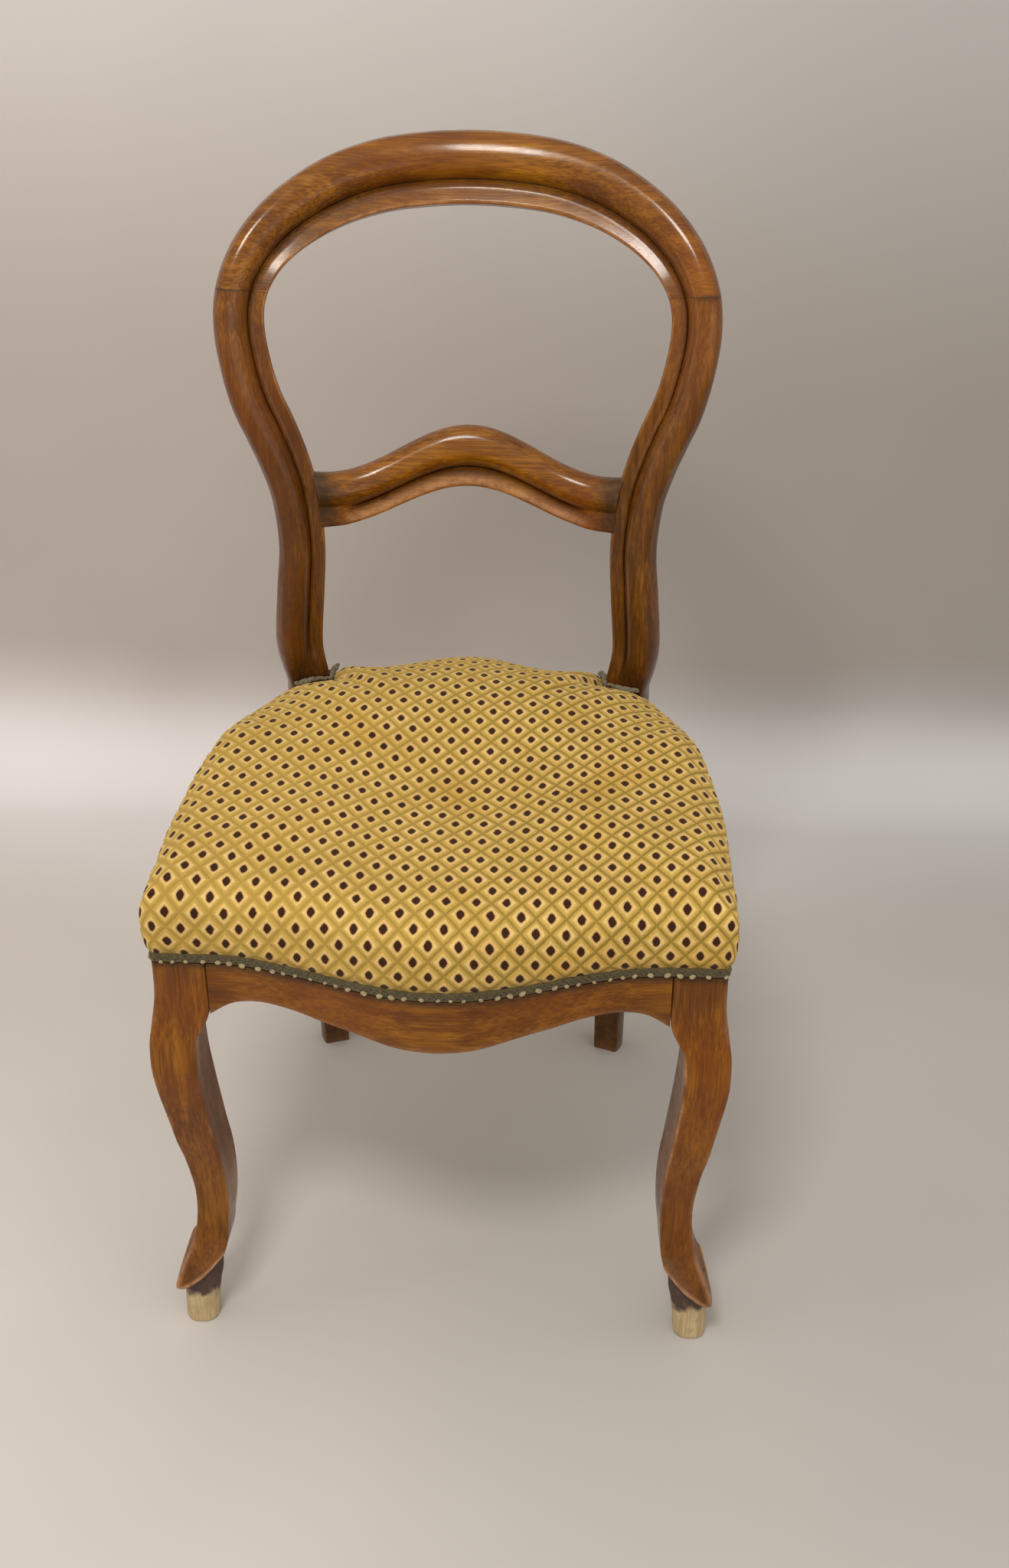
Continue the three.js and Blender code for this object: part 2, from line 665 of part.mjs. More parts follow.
function sideRailBody(grow = 0) {
  const steps = 16;
  const section = [
    [REBATE_DEPTH - grow, RAIL_TOP + grow], [REBATE_DEPTH - grow, REBATE_LINE + REBATE_STEP + grow],
    [-grow, REBATE_LINE + grow], [-grow, RAIL_UNDERSIDE + EDGE_ROUND - grow],
    [EDGE_ROUND - grow, RAIL_UNDERSIDE - grow], [RAIL_THICKNESS + grow, RAIL_UNDERSIDE - grow],
    [RAIL_THICKNESS + grow, RAIL_TOP + grow],
  ];
  return loft(Array.from({ length: steps + 1 }, (_, i) => {
    const share = i / steps;
    const [point, direction] = [sideAt(share), sideDirection(share)];
    return section.map(([inset, z]) => {
      const spot = new THREE.Vector2(point.x - direction.y * inset, point.y + direction.x * inset);
      if (i === 0) return V(spot.x, LEG_BACK + JOINT_GAP - grow, z);
      const run = i === steps ? reachPost(spot, direction, z, JOINT_GAP - grow) : 0;
      return V(spot.x + direction.x * run, spot.y + direction.y * run, z);
    });
  }));
}

const backRailFace = (x, half) => BACK_RAIL_Y + BACK_RAIL_BOW * Math.cos((Math.PI * x) / (2 * half));

function backRailBody(grow = 0) {
  const steps = 10;
  const outer = BACK_RAIL_THICKNESS + grow;
  const section = [
    [-grow, RAIL_TOP + grow], [-grow, RAIL_UNDERSIDE - grow], [outer, RAIL_UNDERSIDE - grow],
    [outer, REBATE_LINE + grow], [outer - REBATE_DEPTH, REBATE_LINE + REBATE_STEP + grow],
    [outer - REBATE_DEPTH, RAIL_TOP + grow],
  ];
  return loft(Array.from({ length: steps + 1 }, (_, i) => section.map(([inset, z]) => {
    const side = (2 * i) / steps - 1;
    const innerX = postInnerX(Math.min(z, SEAT_LINE));
    const face = backRailFace(side * innerX, innerX);
    const y = face + inset;
    const slant = Math.max(y - backY(innerX, z), 0) * (innerX / BACK_RADIUS);
    return V(side * (innerX + slant - JOINT_GAP + grow), y, z);
  })));
}

// Tenons on the rails, or the mortises for them. All are at the right-hand joints.
const TENON_Z = (RAIL_TOP + RAIL_UNDERSIDE) / 2;
const TENON_HEIGHT = RAIL_TOP - RAIL_UNDERSIDE - 2 * TENON_SHOULDER;
const UP = V(0, 0, 1);

function tenonAt(spot, direction, length, clearance) {
  const along = V(direction.x, direction.y, 0).normalize();
  const side = V(-along.y, along.x, 0);
  const centre = V(spot.x, spot.y, TENON_Z).addScaledVector(along, (length + clearance - TENON_ROOT) / 2);
  return slab(centre, [along, side, UP], [
    length + clearance + TENON_ROOT, TENON_THICKNESS + 2 * clearance, TENON_HEIGHT + 2 * clearance,
  ]);
}

function frontTenon(clearance) {
  const spot = V(LEG_INNER, bowY(LEG_INNER) + RAIL_THICKNESS / 2, 0);
  return tenonAt(spot, V(1, 0, 0), TENON_LENGTH, clearance);
}

function sideFrontTenon(clearance) {
  const point = sideAt(0);
  return tenonAt(V(point.x - RAIL_THICKNESS / 2, LEG_BACK, 0), V(0, -1, 0), TENON_LENGTH, clearance);
}

function sideRearTenon(clearance) {
  const [point, direction] = [sideAt(1), sideDirection(1)];
  const spot = new THREE.Vector2(
    point.x - (direction.y * RAIL_THICKNESS) / 2, point.y + (direction.x * RAIL_THICKNESS) / 2,
  );
  const run = reachPost(spot, direction, TENON_Z, 0);
  const [x, y] = [spot.x + direction.x * run, spot.y + direction.y * run];
  const normal = backNormal(x, TENON_Z);
  return tenonAt(V(x, y, 0), normal, TENON_LENGTH, clearance);
}

function backTenon(clearance) {
  const innerX = postInnerX(TENON_Z);
  const y = backRailFace(innerX, innerX) + BACK_RAIL_THICKNESS / 2;
  const x = innerX + (y - backY(innerX, TENON_Z)) * (innerX / BACK_RADIUS);
  return tenonAt(V(x, y, 0), V(1, 0, 0), BACK_TENON_LENGTH, clearance);
}

// Corner blocks and their screws

const BLOCK_TOP = RAIL_TOP - BLOCK_DROP;
const BLOCK_BASE = BLOCK_TOP - BLOCK_HEIGHT;

const prism = (outline, low, high) => loft([low, high].map((z) => outline.map(([x, y]) => V(x, y, z))));

function frontBlockBody() {
  const front = (x) => bowY(x) + RAIL_THICKNESS - EDGE_ROUND;
  const side = sideAt(0).x - RAIL_THICKNESS + EDGE_ROUND;
  const rough = prism([
    [LEG_INNER - BLOCK_REACH, front(LEG_INNER - BLOCK_REACH)], [LEG_INNER - JOINT_GAP, front(LEG_INNER)],
    [LEG_INNER - JOINT_GAP, LEG_BACK + JOINT_GAP], [side, LEG_BACK + JOINT_GAP],
    [side, LEG_BACK + BLOCK_REACH],
  ], BLOCK_BASE, BLOCK_TOP);
  return largestOf(cutBy(rough, frontRailBody(JOINT_GAP), sideRailBody(JOINT_GAP)));
}

// Share of a side rail's length at a distance from the rear post.
const fromPostShare = (distance) => 1 - distance / (postCorner().y - LEG_BACK);

function rearBlockBody() {
  const share = fromPostShare(BLOCK_REACH);
  const [far, direction] = [sideAt(share), sideDirection(share)];
  const inward = (depth) => [far.x - direction.y * depth, far.y + direction.x * depth];
  const innerX = postInnerX(TENON_Z);
  const rough = prism([
    [innerX - BLOCK_REACH, BACK_RAIL_Y + EDGE_ROUND], [innerX + EDGE_ROUND, BACK_RAIL_Y + EDGE_ROUND],
    [innerX + RAIL_THICKNESS, BACK_RAIL_Y - BLOCK_DROP], inward(EDGE_ROUND),
    inward(RAIL_THICKNESS - EDGE_ROUND),
  ], BLOCK_BASE, BLOCK_TOP);
  const post = loft(postRings(JOINT_GAP));
  return largestOf(cutBy(rough, sideRailBody(JOINT_GAP), backRailBody(JOINT_GAP), post));
}

// A screw from its head spot along a level direction, or the hole for it.
function screwAt(spot, direction, clearance) {
  const along = direction.clone().normalize();
  const helper = V(-along.y, along.x, 0);
  const sides = 10;
  const profile = [
    [-clearance, SCREW_HEAD_RADIUS + clearance], [SCREW_HEAD_HEIGHT, SCREW_RADIUS + clearance],
    [SCREW_LENGTH - SCREW_HEAD_HEIGHT, SCREW_RADIUS + clearance],
    [SCREW_LENGTH + clearance, SCREW_RADIUS / 3 + clearance],
  ];
  return loft(profile.map(([run, radius]) => Array.from({ length: sides }, (_, k) => {
    const angle = (2 * Math.PI * k) / sides;
    return spot.clone().addScaledVector(along, run)
      .addScaledVector(helper, Math.cos(angle) * radius).addScaledVector(UP, Math.sin(angle) * radius);
  })));
}

const SCREW_Z = (BLOCK_BASE + BLOCK_TOP) / 2;
const SCREW_DEPTH = SCREW_LENGTH - SCREW_BITE;

// Right-hand screws: from inside the seat through a block into a rail.
function screwList(clearance) {
  const drop = SCREW_HEAD_RADIUS * 2;
  const frontX = LEG_INNER - BLOCK_REACH / 3;
  const sideY = LEG_BACK + BLOCK_REACH / 3;
  const sideX = sideAt(0).x - RAIL_THICKNESS;
  const rearShare = fromPostShare(BLOCK_REACH * 0.65);
  const [rear, direction] = [sideAt(rearShare), sideDirection(rearShare)];
  const outward = V(direction.y, -direction.x, 0);
  const rearSpot = V(rear.x, rear.y, SCREW_Z + drop)
    .addScaledVector(outward, -RAIL_THICKNESS - SCREW_DEPTH / 2);
  const backX = postInnerX(TENON_Z) - BLOCK_REACH / 3;
  const frontY = bowY(frontX) + RAIL_THICKNESS + SCREW_DEPTH;
  const backHeadY = BACK_RAIL_Y + BACK_RAIL_BOW - SCREW_DEPTH;
  return {
    front: screwAt(V(frontX, frontY, SCREW_Z - drop), V(0, -1, 0), clearance),
    side: screwAt(V(sideX - SCREW_DEPTH, sideY, SCREW_Z + drop), V(1, 0, 0), clearance),
    rear: screwAt(rearSpot, outward, clearance),
    back: screwAt(V(backX, backHeadY, SCREW_Z - drop), V(0, 1, 0), clearance),
  };
}

// Springing

// Height of a strap's middle line; crossing straps pass over and under each other.
const WEB_REST = RAIL_UNDERSIDE - JOINT_GAP - WEB_THICKNESS / 2;
const WEB_WAVE = WEB_THICKNESS / 2 + JOINT_GAP / 2;

// The first cross strap clears the front legs, and the middle one is under the seat's middle.
const WEB_PITCH_Y = WEB_CENTRE_Y - WEB_WIDTH / 2 - WEB_LEG_CLEAR - LEG_BACK;
const webXs = [-WEB_PITCH_X, 0, WEB_PITCH_X];
const webYs = [-1, 0, 1].map((k) => WEB_CENTRE_Y + k * WEB_PITCH_Y);

// Strap from one end line to the other; lines give the end position at each edge of the strap.
// It is level under and over each crossing strap and slopes in between.
function strap(place, startAt, endAt, crossings, phase, pointAt) {
  const edges = [place - WEB_WIDTH / 2, place + WEB_WIDTH / 2];
  const half = WEB_WIDTH / 2 + EDGE_ROUND;
  const stations = [
    { runAt: startAt, height: 0 },
    ...crossings.flatMap((crossing, k) => [-half, half].map((offset) => (
      { runAt: () => crossing + offset, height: k % 2 === phase ? WEB_WAVE : -WEB_WAVE }
    ))),
    { runAt: endAt, height: 0 },
  ];
  return loft(stations.map(({ runAt, height }) => {
    const [a, b] = edges.map((edge) => [edge, runAt(edge)]);
    const [low, high] = [-1, 1].map((side) => WEB_REST + height + (side * WEB_THICKNESS) / 2);
    return [pointAt(...a, low), pointAt(...b, low), pointAt(...b, high), pointAt(...a, high)];
  }));
}

function lengthStrap(k) {
  const innerX = postInnerX(TENON_Z);
  return strap(
    webXs[k], (x) => bowY(x) + APRON_THICKNESS + EDGE_ROUND,
    (x) => backRailFace(x, innerX) + BACK_RAIL_THICKNESS - WEB_END_MARGIN,
    webYs, k % 2, (edge, run, z) => V(edge, run, z),
  );
}

function sideXAt(y) {
  const corner = postCorner();
  return sideAt((y - LEG_BACK) / (corner.y - LEG_BACK)).x;
}

function crossStrap(k) {
  return strap(
    webYs[k], (y) => -sideXAt(y) + WEB_END_MARGIN, (y) => sideXAt(y) - WEB_END_MARGIN,
    webXs, (k + 1) % 2, (edge, run, z) => V(run, edge, z),
  );
}

// Hourglass spring standing on the webbing.
function spring(x, y) {
  const stepsPerTurn = 8;
  const sides = 5;
  const base = WEB_REST + WEB_WAVE + WEB_THICKNESS / 2 + JOINT_GAP + SPRING_WIRE_RADIUS;
  const top = CANVAS_CROWN - JOINT_GAP - SPRING_WIRE_RADIUS;
  const steps = SPRING_TURNS * stepsPerTurn;
  const at = (t) => {
    const waist = 4 * t * (1 - t);
    const radius = lerp(SPRING_END_RADIUS, SPRING_WAIST_RADIUS, waist);
    const angle = 2 * Math.PI * SPRING_TURNS * t;
    return V(x + radius * Math.cos(angle), y + radius * Math.sin(angle), lerp(base, top, t));
  };
  return loft(Array.from({ length: steps + 1 }, (_, i) => {
    const t = i / steps;
    const delta = 1 / (4 * steps);
    const along = at(t + delta).sub(at(t - delta)).normalize();
    const outward = at(t).sub(V(x, y, at(t).z)).normalize();
    const other = along.clone().cross(outward).normalize();
    const squared = other.clone().cross(along).normalize();
    return Array.from({ length: sides }, (_unused, k) => {
      const angle = (2 * Math.PI * k) / sides;
      return at(t).addScaledVector(squared, Math.cos(angle) * SPRING_WIRE_RADIUS)
        .addScaledVector(other, Math.sin(angle) * SPRING_WIRE_RADIUS);
    });
  }));
}

// Seat covering

const BACK_SPOTS = 6;

// Places round the seat, right half from front to back: where the frame's edge is, which way is
// out, whether the cloth hangs down over the frame there, and how much the top edge is raised.
function halfOutline() {
  const spots = [];
  const put = (x, y, nx, ny, free, lift) => spots.push({
    x, y, out: new THREE.Vector2(nx, ny).normalize(), free, lift,
  });
  const bowSteps = 9;
  for (let i = 0; i < bowSteps; i += 1) {
    const x = (LEG_INNER * i) / bowSteps;
    const step = LEG_INNER / bowSteps / 10;
    put(x, bowY(x), bowY(x + step) - bowY(x - step), -2 * step, 1, 0);
  }
  put(LEG_INNER, -SEAT_FRONT, 0, -1, 1, 0);
  put(SEAT_HALF - LEG_BLOCK / 3, -SEAT_FRONT, 0, -1, 1, 0);
  put(SEAT_HALF - EDGE_ROUND, -SEAT_FRONT, 1, -3, 1, 0.3);
  put(SEAT_HALF, -SEAT_FRONT + EDGE_ROUND, 3, -1, 1, 0.3);
  put(SEAT_HALF, -SEAT_FRONT + LEG_BLOCK / 2, 1, 0, 1, 0.6);
  const sideSteps = 9;
  for (let i = 0; i < sideSteps; i += 1) {
    const share = (0.97 * i) / (sideSteps - 1);
    const [point, direction] = [sideAt(share), sideDirection(share)];
    put(point.x, point.y, direction.y, -direction.x, 1, lerp(0.8, -0.95, fade(share, 0.35, 0.95)));
  }
  const [corner, direction] = [sideAt(0.985), sideDirection(1)];
  put(corner.x, corner.y, direction.y, -direction.x, 0.5, -1);
  const innerX = postInnerX(RAIL_TOP);
  for (const across of [0.1, 0.55, 0.98]) {
    const x = lerp(postCorner().x, innerX, across);
    const normal = backNormal(x, SEAT_LINE);
    put(x, backY(x, SEAT_LINE), normal.x, normal.y, 0, -1);
  }
  const rearY = BACK_RAIL_Y + BACK_RAIL_THICKNESS;
  put(innerX + POST_CLEAR, lerp(backY(innerX, SEAT_LINE), rearY, 0.5), 0.35, 1, 0, -1);
  put(innerX - EDGE_ROUND, rearY + CLOTH_GAP, 0.3, 1, 0.5, -1);
  for (let i = 0; i < BACK_SPOTS; i += 1) {
    const share = i / (BACK_SPOTS - 1);
    const x = (innerX - 3 * EDGE_ROUND) * (1 - share);
    const turn = 0.2 * Math.max(1 - i / 2, 0);
    put(x, backRailFace(x, innerX) + BACK_RAIL_THICKNESS, turn, 1, 1, lerp(-1, -0.5, fade(share, 0.2, 1)));
  }
  return spots;
}

// The same places on the left-hand side, in the opposite order.
const acrossMiddle = (spots) => [...spots].reverse().map((spot) => ({
  ...spot, x: -spot.x, out: new THREE.Vector2(-spot.out.x, spot.out.y),
}));

function fullOutline() {
  const right = halfOutline();
  return [...right, ...acrossMiddle(right.slice(1, -1))];
}

const OUTLINE = fullOutline();
const RAIL_CLEAR = RAIL_TOP + LAYER_GAP;

const raised = (lift, lower, dip) => lift * (lift > 0 ? EDGE_LIFT * (1 - lower) : POST_DIP * dip);

// How far the seat's top rises towards the back, less its worn hollow in front of the middle.
function topRise(x, y) {
  const away = Math.hypot(x, y - WEB_CENTRE_Y + HOLLOW_FORWARD);
  return SEAT_RISE * fade(y, RISE_START, RISE_END) - HOLLOW_DEPTH * (1 - fade(away, 0, HOLLOW_REACH));
}

// Ring of the seat's skin. stand is how far it stands off the frame's edge; at the posts it only
// draws in. inset moves the whole ring inwards, and gather moves it towards the middle. Outwards
// the ring moves square to the edge, and inwards it moves towards the middle of the seat. lower
// takes away the lift of its edge, dip is its share of the dip at the posts, and shaped is its
// share of the rise.
function skinRing({ stand, z, lower = 0, dip = 0, gather = 0, inset = 0, shaped = 1 - lower }) {
  return OUTLINE.map((spot) => {
    const distance = spot.free >= 0.5 ? stand - inset : Math.min(stand, 0) - POST_CLEAR - inset;
    const fromMiddle = new THREE.Vector2(spot.x, spot.y - WEB_CENTRE_Y).normalize();
    const way = distance > 0 ? spot.out : fromMiddle;
    const x = (spot.x + way.x * distance) * (1 - gather);
    const y = lerp(spot.y + way.y * distance, WEB_CENTRE_Y, gather);
    return V(x, y, z + raised(spot.lift, lower, dip) + shaped * topRise(x, y));
  });
}

// At the posts the lower edge of the seat's skin lies just above the rails.
function overRails(ring, height) {
  return ring.map((point, i) => (OUTLINE[i].free < 1 ? V(point.x, point.y, height) : point));
}

// Where the cloth's outer face stands at the frame: it lies in the rebate.
const CLOTH_FACE = CLOTH_GAP + CLOTH_THICKNESS - REBATE_DEPTH;

// Skin from the lower edge to the crown: how far out, how high, how far gathered inwards.
function skinRings(inset) {
  const edge = CLOTH_FACE;
  const crown = SEAT_CROWN - inset;
  const shoulder = SEAT_SHOULDER - inset / 2;
  const drawn = edge - SEAT_ROLL * 1.3;
  const ring = (stand, z, lower, dip) => skinRing({ stand, z, lower, dip, inset });
  const gathered = (gather, height, keep, dip) => skinRing({
    stand: drawn, z: lerp(shoulder, crown, height), lower: 1 - keep, dip, gather, inset, shaped: 1,
  });
  return {
    hang: overRails(ring(edge, GIMP_LINE + GIMP_HEIGHT, 1, 0), RAIL_TOP + EDGE_ROUND),
    bulge: ring(edge + SEAT_BULGE, lerp(RAIL_TOP, shoulder, 0.5), 0.7, 0.25),
    shoulder: ring(edge + SEAT_BULGE * 0.75, shoulder, 0.2, 0.75),
    roll: ring(edge - SEAT_ROLL * 0.5, lerp(shoulder, crown, 0.36), 0, 1),
    top: ring(drawn, lerp(shoulder, crown, 0.58), 0, 0.95),
    inner: [
      gathered(0.16, 0.75, 0.7, 0.48), gathered(0.36, 0.88, 0.45, 0.16),
      gathered(0.6, 0.965, 0.2, 0), gathered(0.82, 0.995, 0.05, 0),
    ],
    crown: V(0, WEB_CENTRE_Y, crown + topRise(0, WEB_CENTRE_Y)),
  };
}

// Lower edge of the cloth, behind the braid where it hangs free.
const hemRing = (stand, inset) => overRails(skinRing({ stand, z: GIMP_LINE, lower: 1, inset }), RAIL_CLEAR);

function seatCover() {
  const [outer, inner] = [skinRings(0), skinRings(CLOTH_THICKNESS)];
  return shell(outer.crown, [
    ...[...outer.inner].reverse(), outer.top, outer.roll, outer.shoulder, outer.bulge, outer.hang,
    hemRing(CLOTH_FACE, 0), hemRing(CLOTH_FACE, CLOTH_THICKNESS),
    inner.hang, inner.bulge, inner.shoulder, inner.roll, inner.top, inner.inner[1], inner.inner[2],
  ], inner.crown);
}

// Domed canvas over the springs, lying on the rails at its edge.
function canvasRings(lift) {
  const low = RAIL_CLEAR + lift;
  const high = CANVAS_CROWN + lift;
  const ring = (stand, z, gather) => skinRing({ stand, z, lower: 1, gather });
  return [
    ring(-CANVAS_INSET, low, 0), ring(-RAIL_THICKNESS, low, 0),
    ring(-RAIL_THICKNESS, lerp(low, high, 0.75), 0.1), ring(-RAIL_THICKNESS, high, 0.26),
  ];
}

function springCanvas() {
  const [under, over] = [canvasRings(0), canvasRings(CANVAS_THICKNESS)];
  return shell(
    V(0, WEB_CENTRE_Y, CANVAS_CROWN), [...[...under].reverse(), ...over],
    V(0, WEB_CENTRE_Y, CANVAS_CROWN + CANVAS_THICKNESS),
  );
}

function stuffing() {
  const skin = skinRings(CLOTH_THICKNESS + LAYER_GAP);
  const bed = canvasRings(CANVAS_THICKNESS + LAYER_GAP);
  const inset = CLOTH_THICKNESS + LAYER_GAP;
  const bedEdge = RAIL_CLEAR + CANVAS_THICKNESS + LAYER_GAP;
  const half = lerp(RAIL_TOP, SEAT_SHOULDER, 0.5);
  const edge = skinRing({ stand: -EDGE_ROUND, z: bedEdge, lower: 1, inset });
  const side = skinRing({ stand: SEAT_BULGE / 2, z: half, lower: 0.7, dip: 0.25, inset });
  return shell(
    V(0, WEB_CENTRE_Y, CANVAS_CROWN + CANVAS_THICKNESS + LAYER_GAP),
    [...[...bed].reverse(), edge, side, skin.shoulder, skin.roll, skin.top, skin.inner[1], skin.inner[2]],
    skin.crown,
  );
}

// Braid on part of the outline, outside the lower edge of the cloth.
function braid(spots, low, high, near) {
  const far = near + GIMP_THICKNESS;
  return loft(spots.map((spot) => [[near, low], [far, low], [far, high], [near, high]].map(
    ([out, z]) => V(spot.x + spot.out.x * out, spot.y + spot.out.y * out, z),
  )));
}

const BRAID_NEAR = CLOTH_FACE + JOINT_GAP;
const BRAID_LOW = GIMP_LINE - GIMP_HEIGHT / 2;

function frontBraid() {
  const right = halfOutline();
  const run = right.slice(0, right.findIndex((spot) => spot.free < 1));
  return braid([...acrossMiddle(run.slice(1)), ...run], BRAID_LOW, BRAID_LOW + GIMP_HEIGHT, BRAID_NEAR);
}

function backBraid() {
  const run = halfOutline().slice(-BACK_SPOTS);
  return braid([...run, ...acrossMiddle(run.slice(0, -1))], BRAID_LOW, BRAID_LOW + GIMP_HEIGHT, BRAID_NEAR);
}

// The finished chair

const chair = new THREE.Group();

function add(name, geometry, finish) {
  const mesh = new THREE.Mesh(geometry, new THREE.MeshStandardMaterial(finish));
  mesh.name = name;
  chair.add(mesh);
}

function addPair(name, geometry, finish) {
  add(`right_${name}`, geometry, finish);
  add(`left_${name}`, mirrored(geometry), finish);
}

const holes = screwList(JOINT_GAP);
const screws = screwList(0);
const { centre: dowelCentre, along: dowelAlong } = dowelAxis();
const dowelHole = rod(dowelCentre, dowelAlong, DOWEL_RADIUS + JOINT_GAP, DOWEL_HALF + JOINT_GAP);

function crestRail() {
  const stepsPerSide = 15;
  const start = JOINT_PLACE + JOINT_GAP / BACK_RISE;
  const rings = [];
  for (let i = 0; i <= 2 * stepsPerSide; i += 1) {
    const place = lerp(start, 2 * LAST_PLACE - start, i / (2 * stepsPerSide));
    const { outer, inner, depth } = backStation(place > LAST_PLACE ? 2 * LAST_PLACE - place : place);
    const flip = place > LAST_PLACE ? -1 : 1;
    rings.push(mouldedRing(between([flip * outer[0], outer[1]], [flip * inner[0], inner[1]]), depth, 1, 1));
  }
  return cutBy(loft(rings), dowelHole, mirrored(dowelHole));
}

// The middle rail is cut to the inner sides of the posts before its tenons go on.
function middleRail() {
  const grownPost = loft(postRings(JOINT_GAP));
  const fitted = largestOf(cutBy(loft(midRings()), grownPost, mirrored(grownPost)));
  return joined(fitted, midTenon(0), mirrored(midTenon(0)));
}

const post = cutBy(
  loft(postRings()), dowelHole, midTenon(JOINT_GAP), sideRearTenon(JOINT_GAP), backTenon(JOINT_GAP),
);
const frontLeg = cutBy(joined(legShaft(), pegFoot()), frontTenon(JOINT_GAP), sideFrontTenon(JOINT_GAP));
const sideRail = cutBy(joined(sideRailBody(), sideFrontTenon(0), sideRearTenon(0)), holes.side, holes.rear);

add('crest_rail', crestRail(), WALNUT);
addPair('back_post', post, WALNUT);
addPair('crest_dowel', rod(dowelCentre, dowelAlong, DOWEL_RADIUS, DOWEL_HALF), BEECH);
add('mid_rail', middleRail(), WALNUT);
add('front_rail', cutBy(
  joined(frontRailBody(), frontTenon(0), mirrored(frontTenon(0))), holes.front, mirrored(holes.front),
), WALNUT);
addPair('side_rail', sideRail, WALNUT);
add('back_rail', cutBy(
  joined(backRailBody(), backTenon(0), mirrored(backTenon(0))), holes.back, mirrored(holes.back),
), WALNUT);
addPair('front_leg', frontLeg, WALNUT);
addPair('front_block', cutBy(frontBlockBody(), holes.front, holes.side), BEECH);
addPair('rear_block', cutBy(rearBlockBody(), holes.rear, holes.back), BEECH);
Object.entries(screws).forEach(([place, geometry]) => addPair(`${place}_screw`, geometry, STEEL));
webXs.forEach((_, k) => add(`web_length_${k + 1}`, lengthStrap(k), JUTE));
webYs.forEach((_, k) => add(`web_cross_${k + 1}`, crossStrap(k), JUTE));
[[-1, -1], [1, -1], [0, 0], [-1, 1], [1, 1]].forEach(([i, j], k) => add(
  `seat_spring_${k + 1}`, spring(i * WEB_PITCH_X, WEB_CENTRE_Y + j * WEB_PITCH_Y), STEEL,
));
add('spring_canvas', springCanvas(), JUTE);
add('seat_stuffing', stuffing(), HAIR);
add('seat_cover', seatCover(), VELVET);
add('front_gimp', frontBraid(), BRAID);
add('back_gimp', backBraid(), BRAID);

// The origin is on the floor below the middle of the whole chair.
const bounds = new THREE.Box3().setFromObject(chair);
const middle = bounds.getCenter(V(0, 0, 0));
chair.position.set(-middle.x, -middle.y, -bounds.min.z);
chair.updateMatrixWorld(true);

export default chair;
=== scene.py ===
"""Looks of a balloon back side chair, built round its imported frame.

Everything is in metres, with +Z up and the front of the chair facing -Y. The moulded back, the
cabriole legs, the rails, the stuffed seat, its braid and the springing are each a class that builds
its meshes and dresses them. Wood, velvet, braid, jute and steel are procedural finishes.
"""
import json
import logging
import math
from dataclasses import dataclass, field
from enum import Enum
from typing import Callable, Iterable, Sequence

import bpy
import numpy as np
from mathutils import Matrix, Vector, noise

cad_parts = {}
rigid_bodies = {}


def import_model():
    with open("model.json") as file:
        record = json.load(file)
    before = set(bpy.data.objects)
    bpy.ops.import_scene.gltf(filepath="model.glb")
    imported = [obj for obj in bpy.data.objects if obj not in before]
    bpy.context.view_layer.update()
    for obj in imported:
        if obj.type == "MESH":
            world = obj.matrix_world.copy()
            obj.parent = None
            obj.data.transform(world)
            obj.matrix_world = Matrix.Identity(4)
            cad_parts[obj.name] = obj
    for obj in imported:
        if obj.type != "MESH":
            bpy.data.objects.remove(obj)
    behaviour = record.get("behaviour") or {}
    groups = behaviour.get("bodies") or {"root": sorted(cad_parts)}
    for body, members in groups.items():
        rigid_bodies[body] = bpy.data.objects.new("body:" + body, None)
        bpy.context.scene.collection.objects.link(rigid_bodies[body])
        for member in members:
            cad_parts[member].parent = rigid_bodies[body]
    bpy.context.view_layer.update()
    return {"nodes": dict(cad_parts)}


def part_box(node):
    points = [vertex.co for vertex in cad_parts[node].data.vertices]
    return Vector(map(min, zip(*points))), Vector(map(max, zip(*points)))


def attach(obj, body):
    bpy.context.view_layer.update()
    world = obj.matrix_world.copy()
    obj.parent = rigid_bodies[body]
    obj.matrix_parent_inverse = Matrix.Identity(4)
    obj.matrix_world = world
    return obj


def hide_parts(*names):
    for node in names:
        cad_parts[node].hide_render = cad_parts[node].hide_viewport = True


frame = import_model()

LOG = logging.getLogger("balloon_back_chair")
Array = np.ndarray
Rows = tuple[tuple[float, ...], ...]
Triple = tuple[float, float, float]
Colour = Triple
Socket = bpy.types.NodeSocket
Material = bpy.types.Material
Mesh = bpy.types.Mesh
Object = bpy.types.Object

RAIL_FRONT = 0.232        # from the middle of the plan to the front of the front rail
SEAT_MIDDLE = 0.018       # the middle of the seat lies this far in front of the plan's
REBATE_STEP = 0.0006      # slope at the edge of the rebate for the cloth
OVER_RAILS = 0.4048       # height at which canvas and cloth lie on the rails
FRAME_SHARP = 32.0        # edges of the rails sharper than this stay hard, in degrees
MIRRORED_ROW = np.array([-1.0, 1.0, -1.0, 1.0, 1.0, 1.0])  # turns a row of the outline to the left


class Slot(Enum):
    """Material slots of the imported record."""

    WALNUT = "polished_walnut"
    STEEL = "steel"
    JUTE = "jute"
    VELVET = "velvet"
    BRAID = "braid"


class Grain(Enum):
    """Which way the grain of a board runs, as the order of x, y and z that puts it last."""

    UPRIGHT = (0, 1, 2)
    CROSSWISE = (2, 1, 0)
    LENGTHWISE = (0, 2, 1)


class Side(Enum):
    """Right and left of the chair seen from the front."""

    RIGHT = 1
    LEFT = -1

    @property
    def word(self) -> str:
        """Word that starts the names of this side's pieces."""
        return self.name.lower()


# Curves and small sums

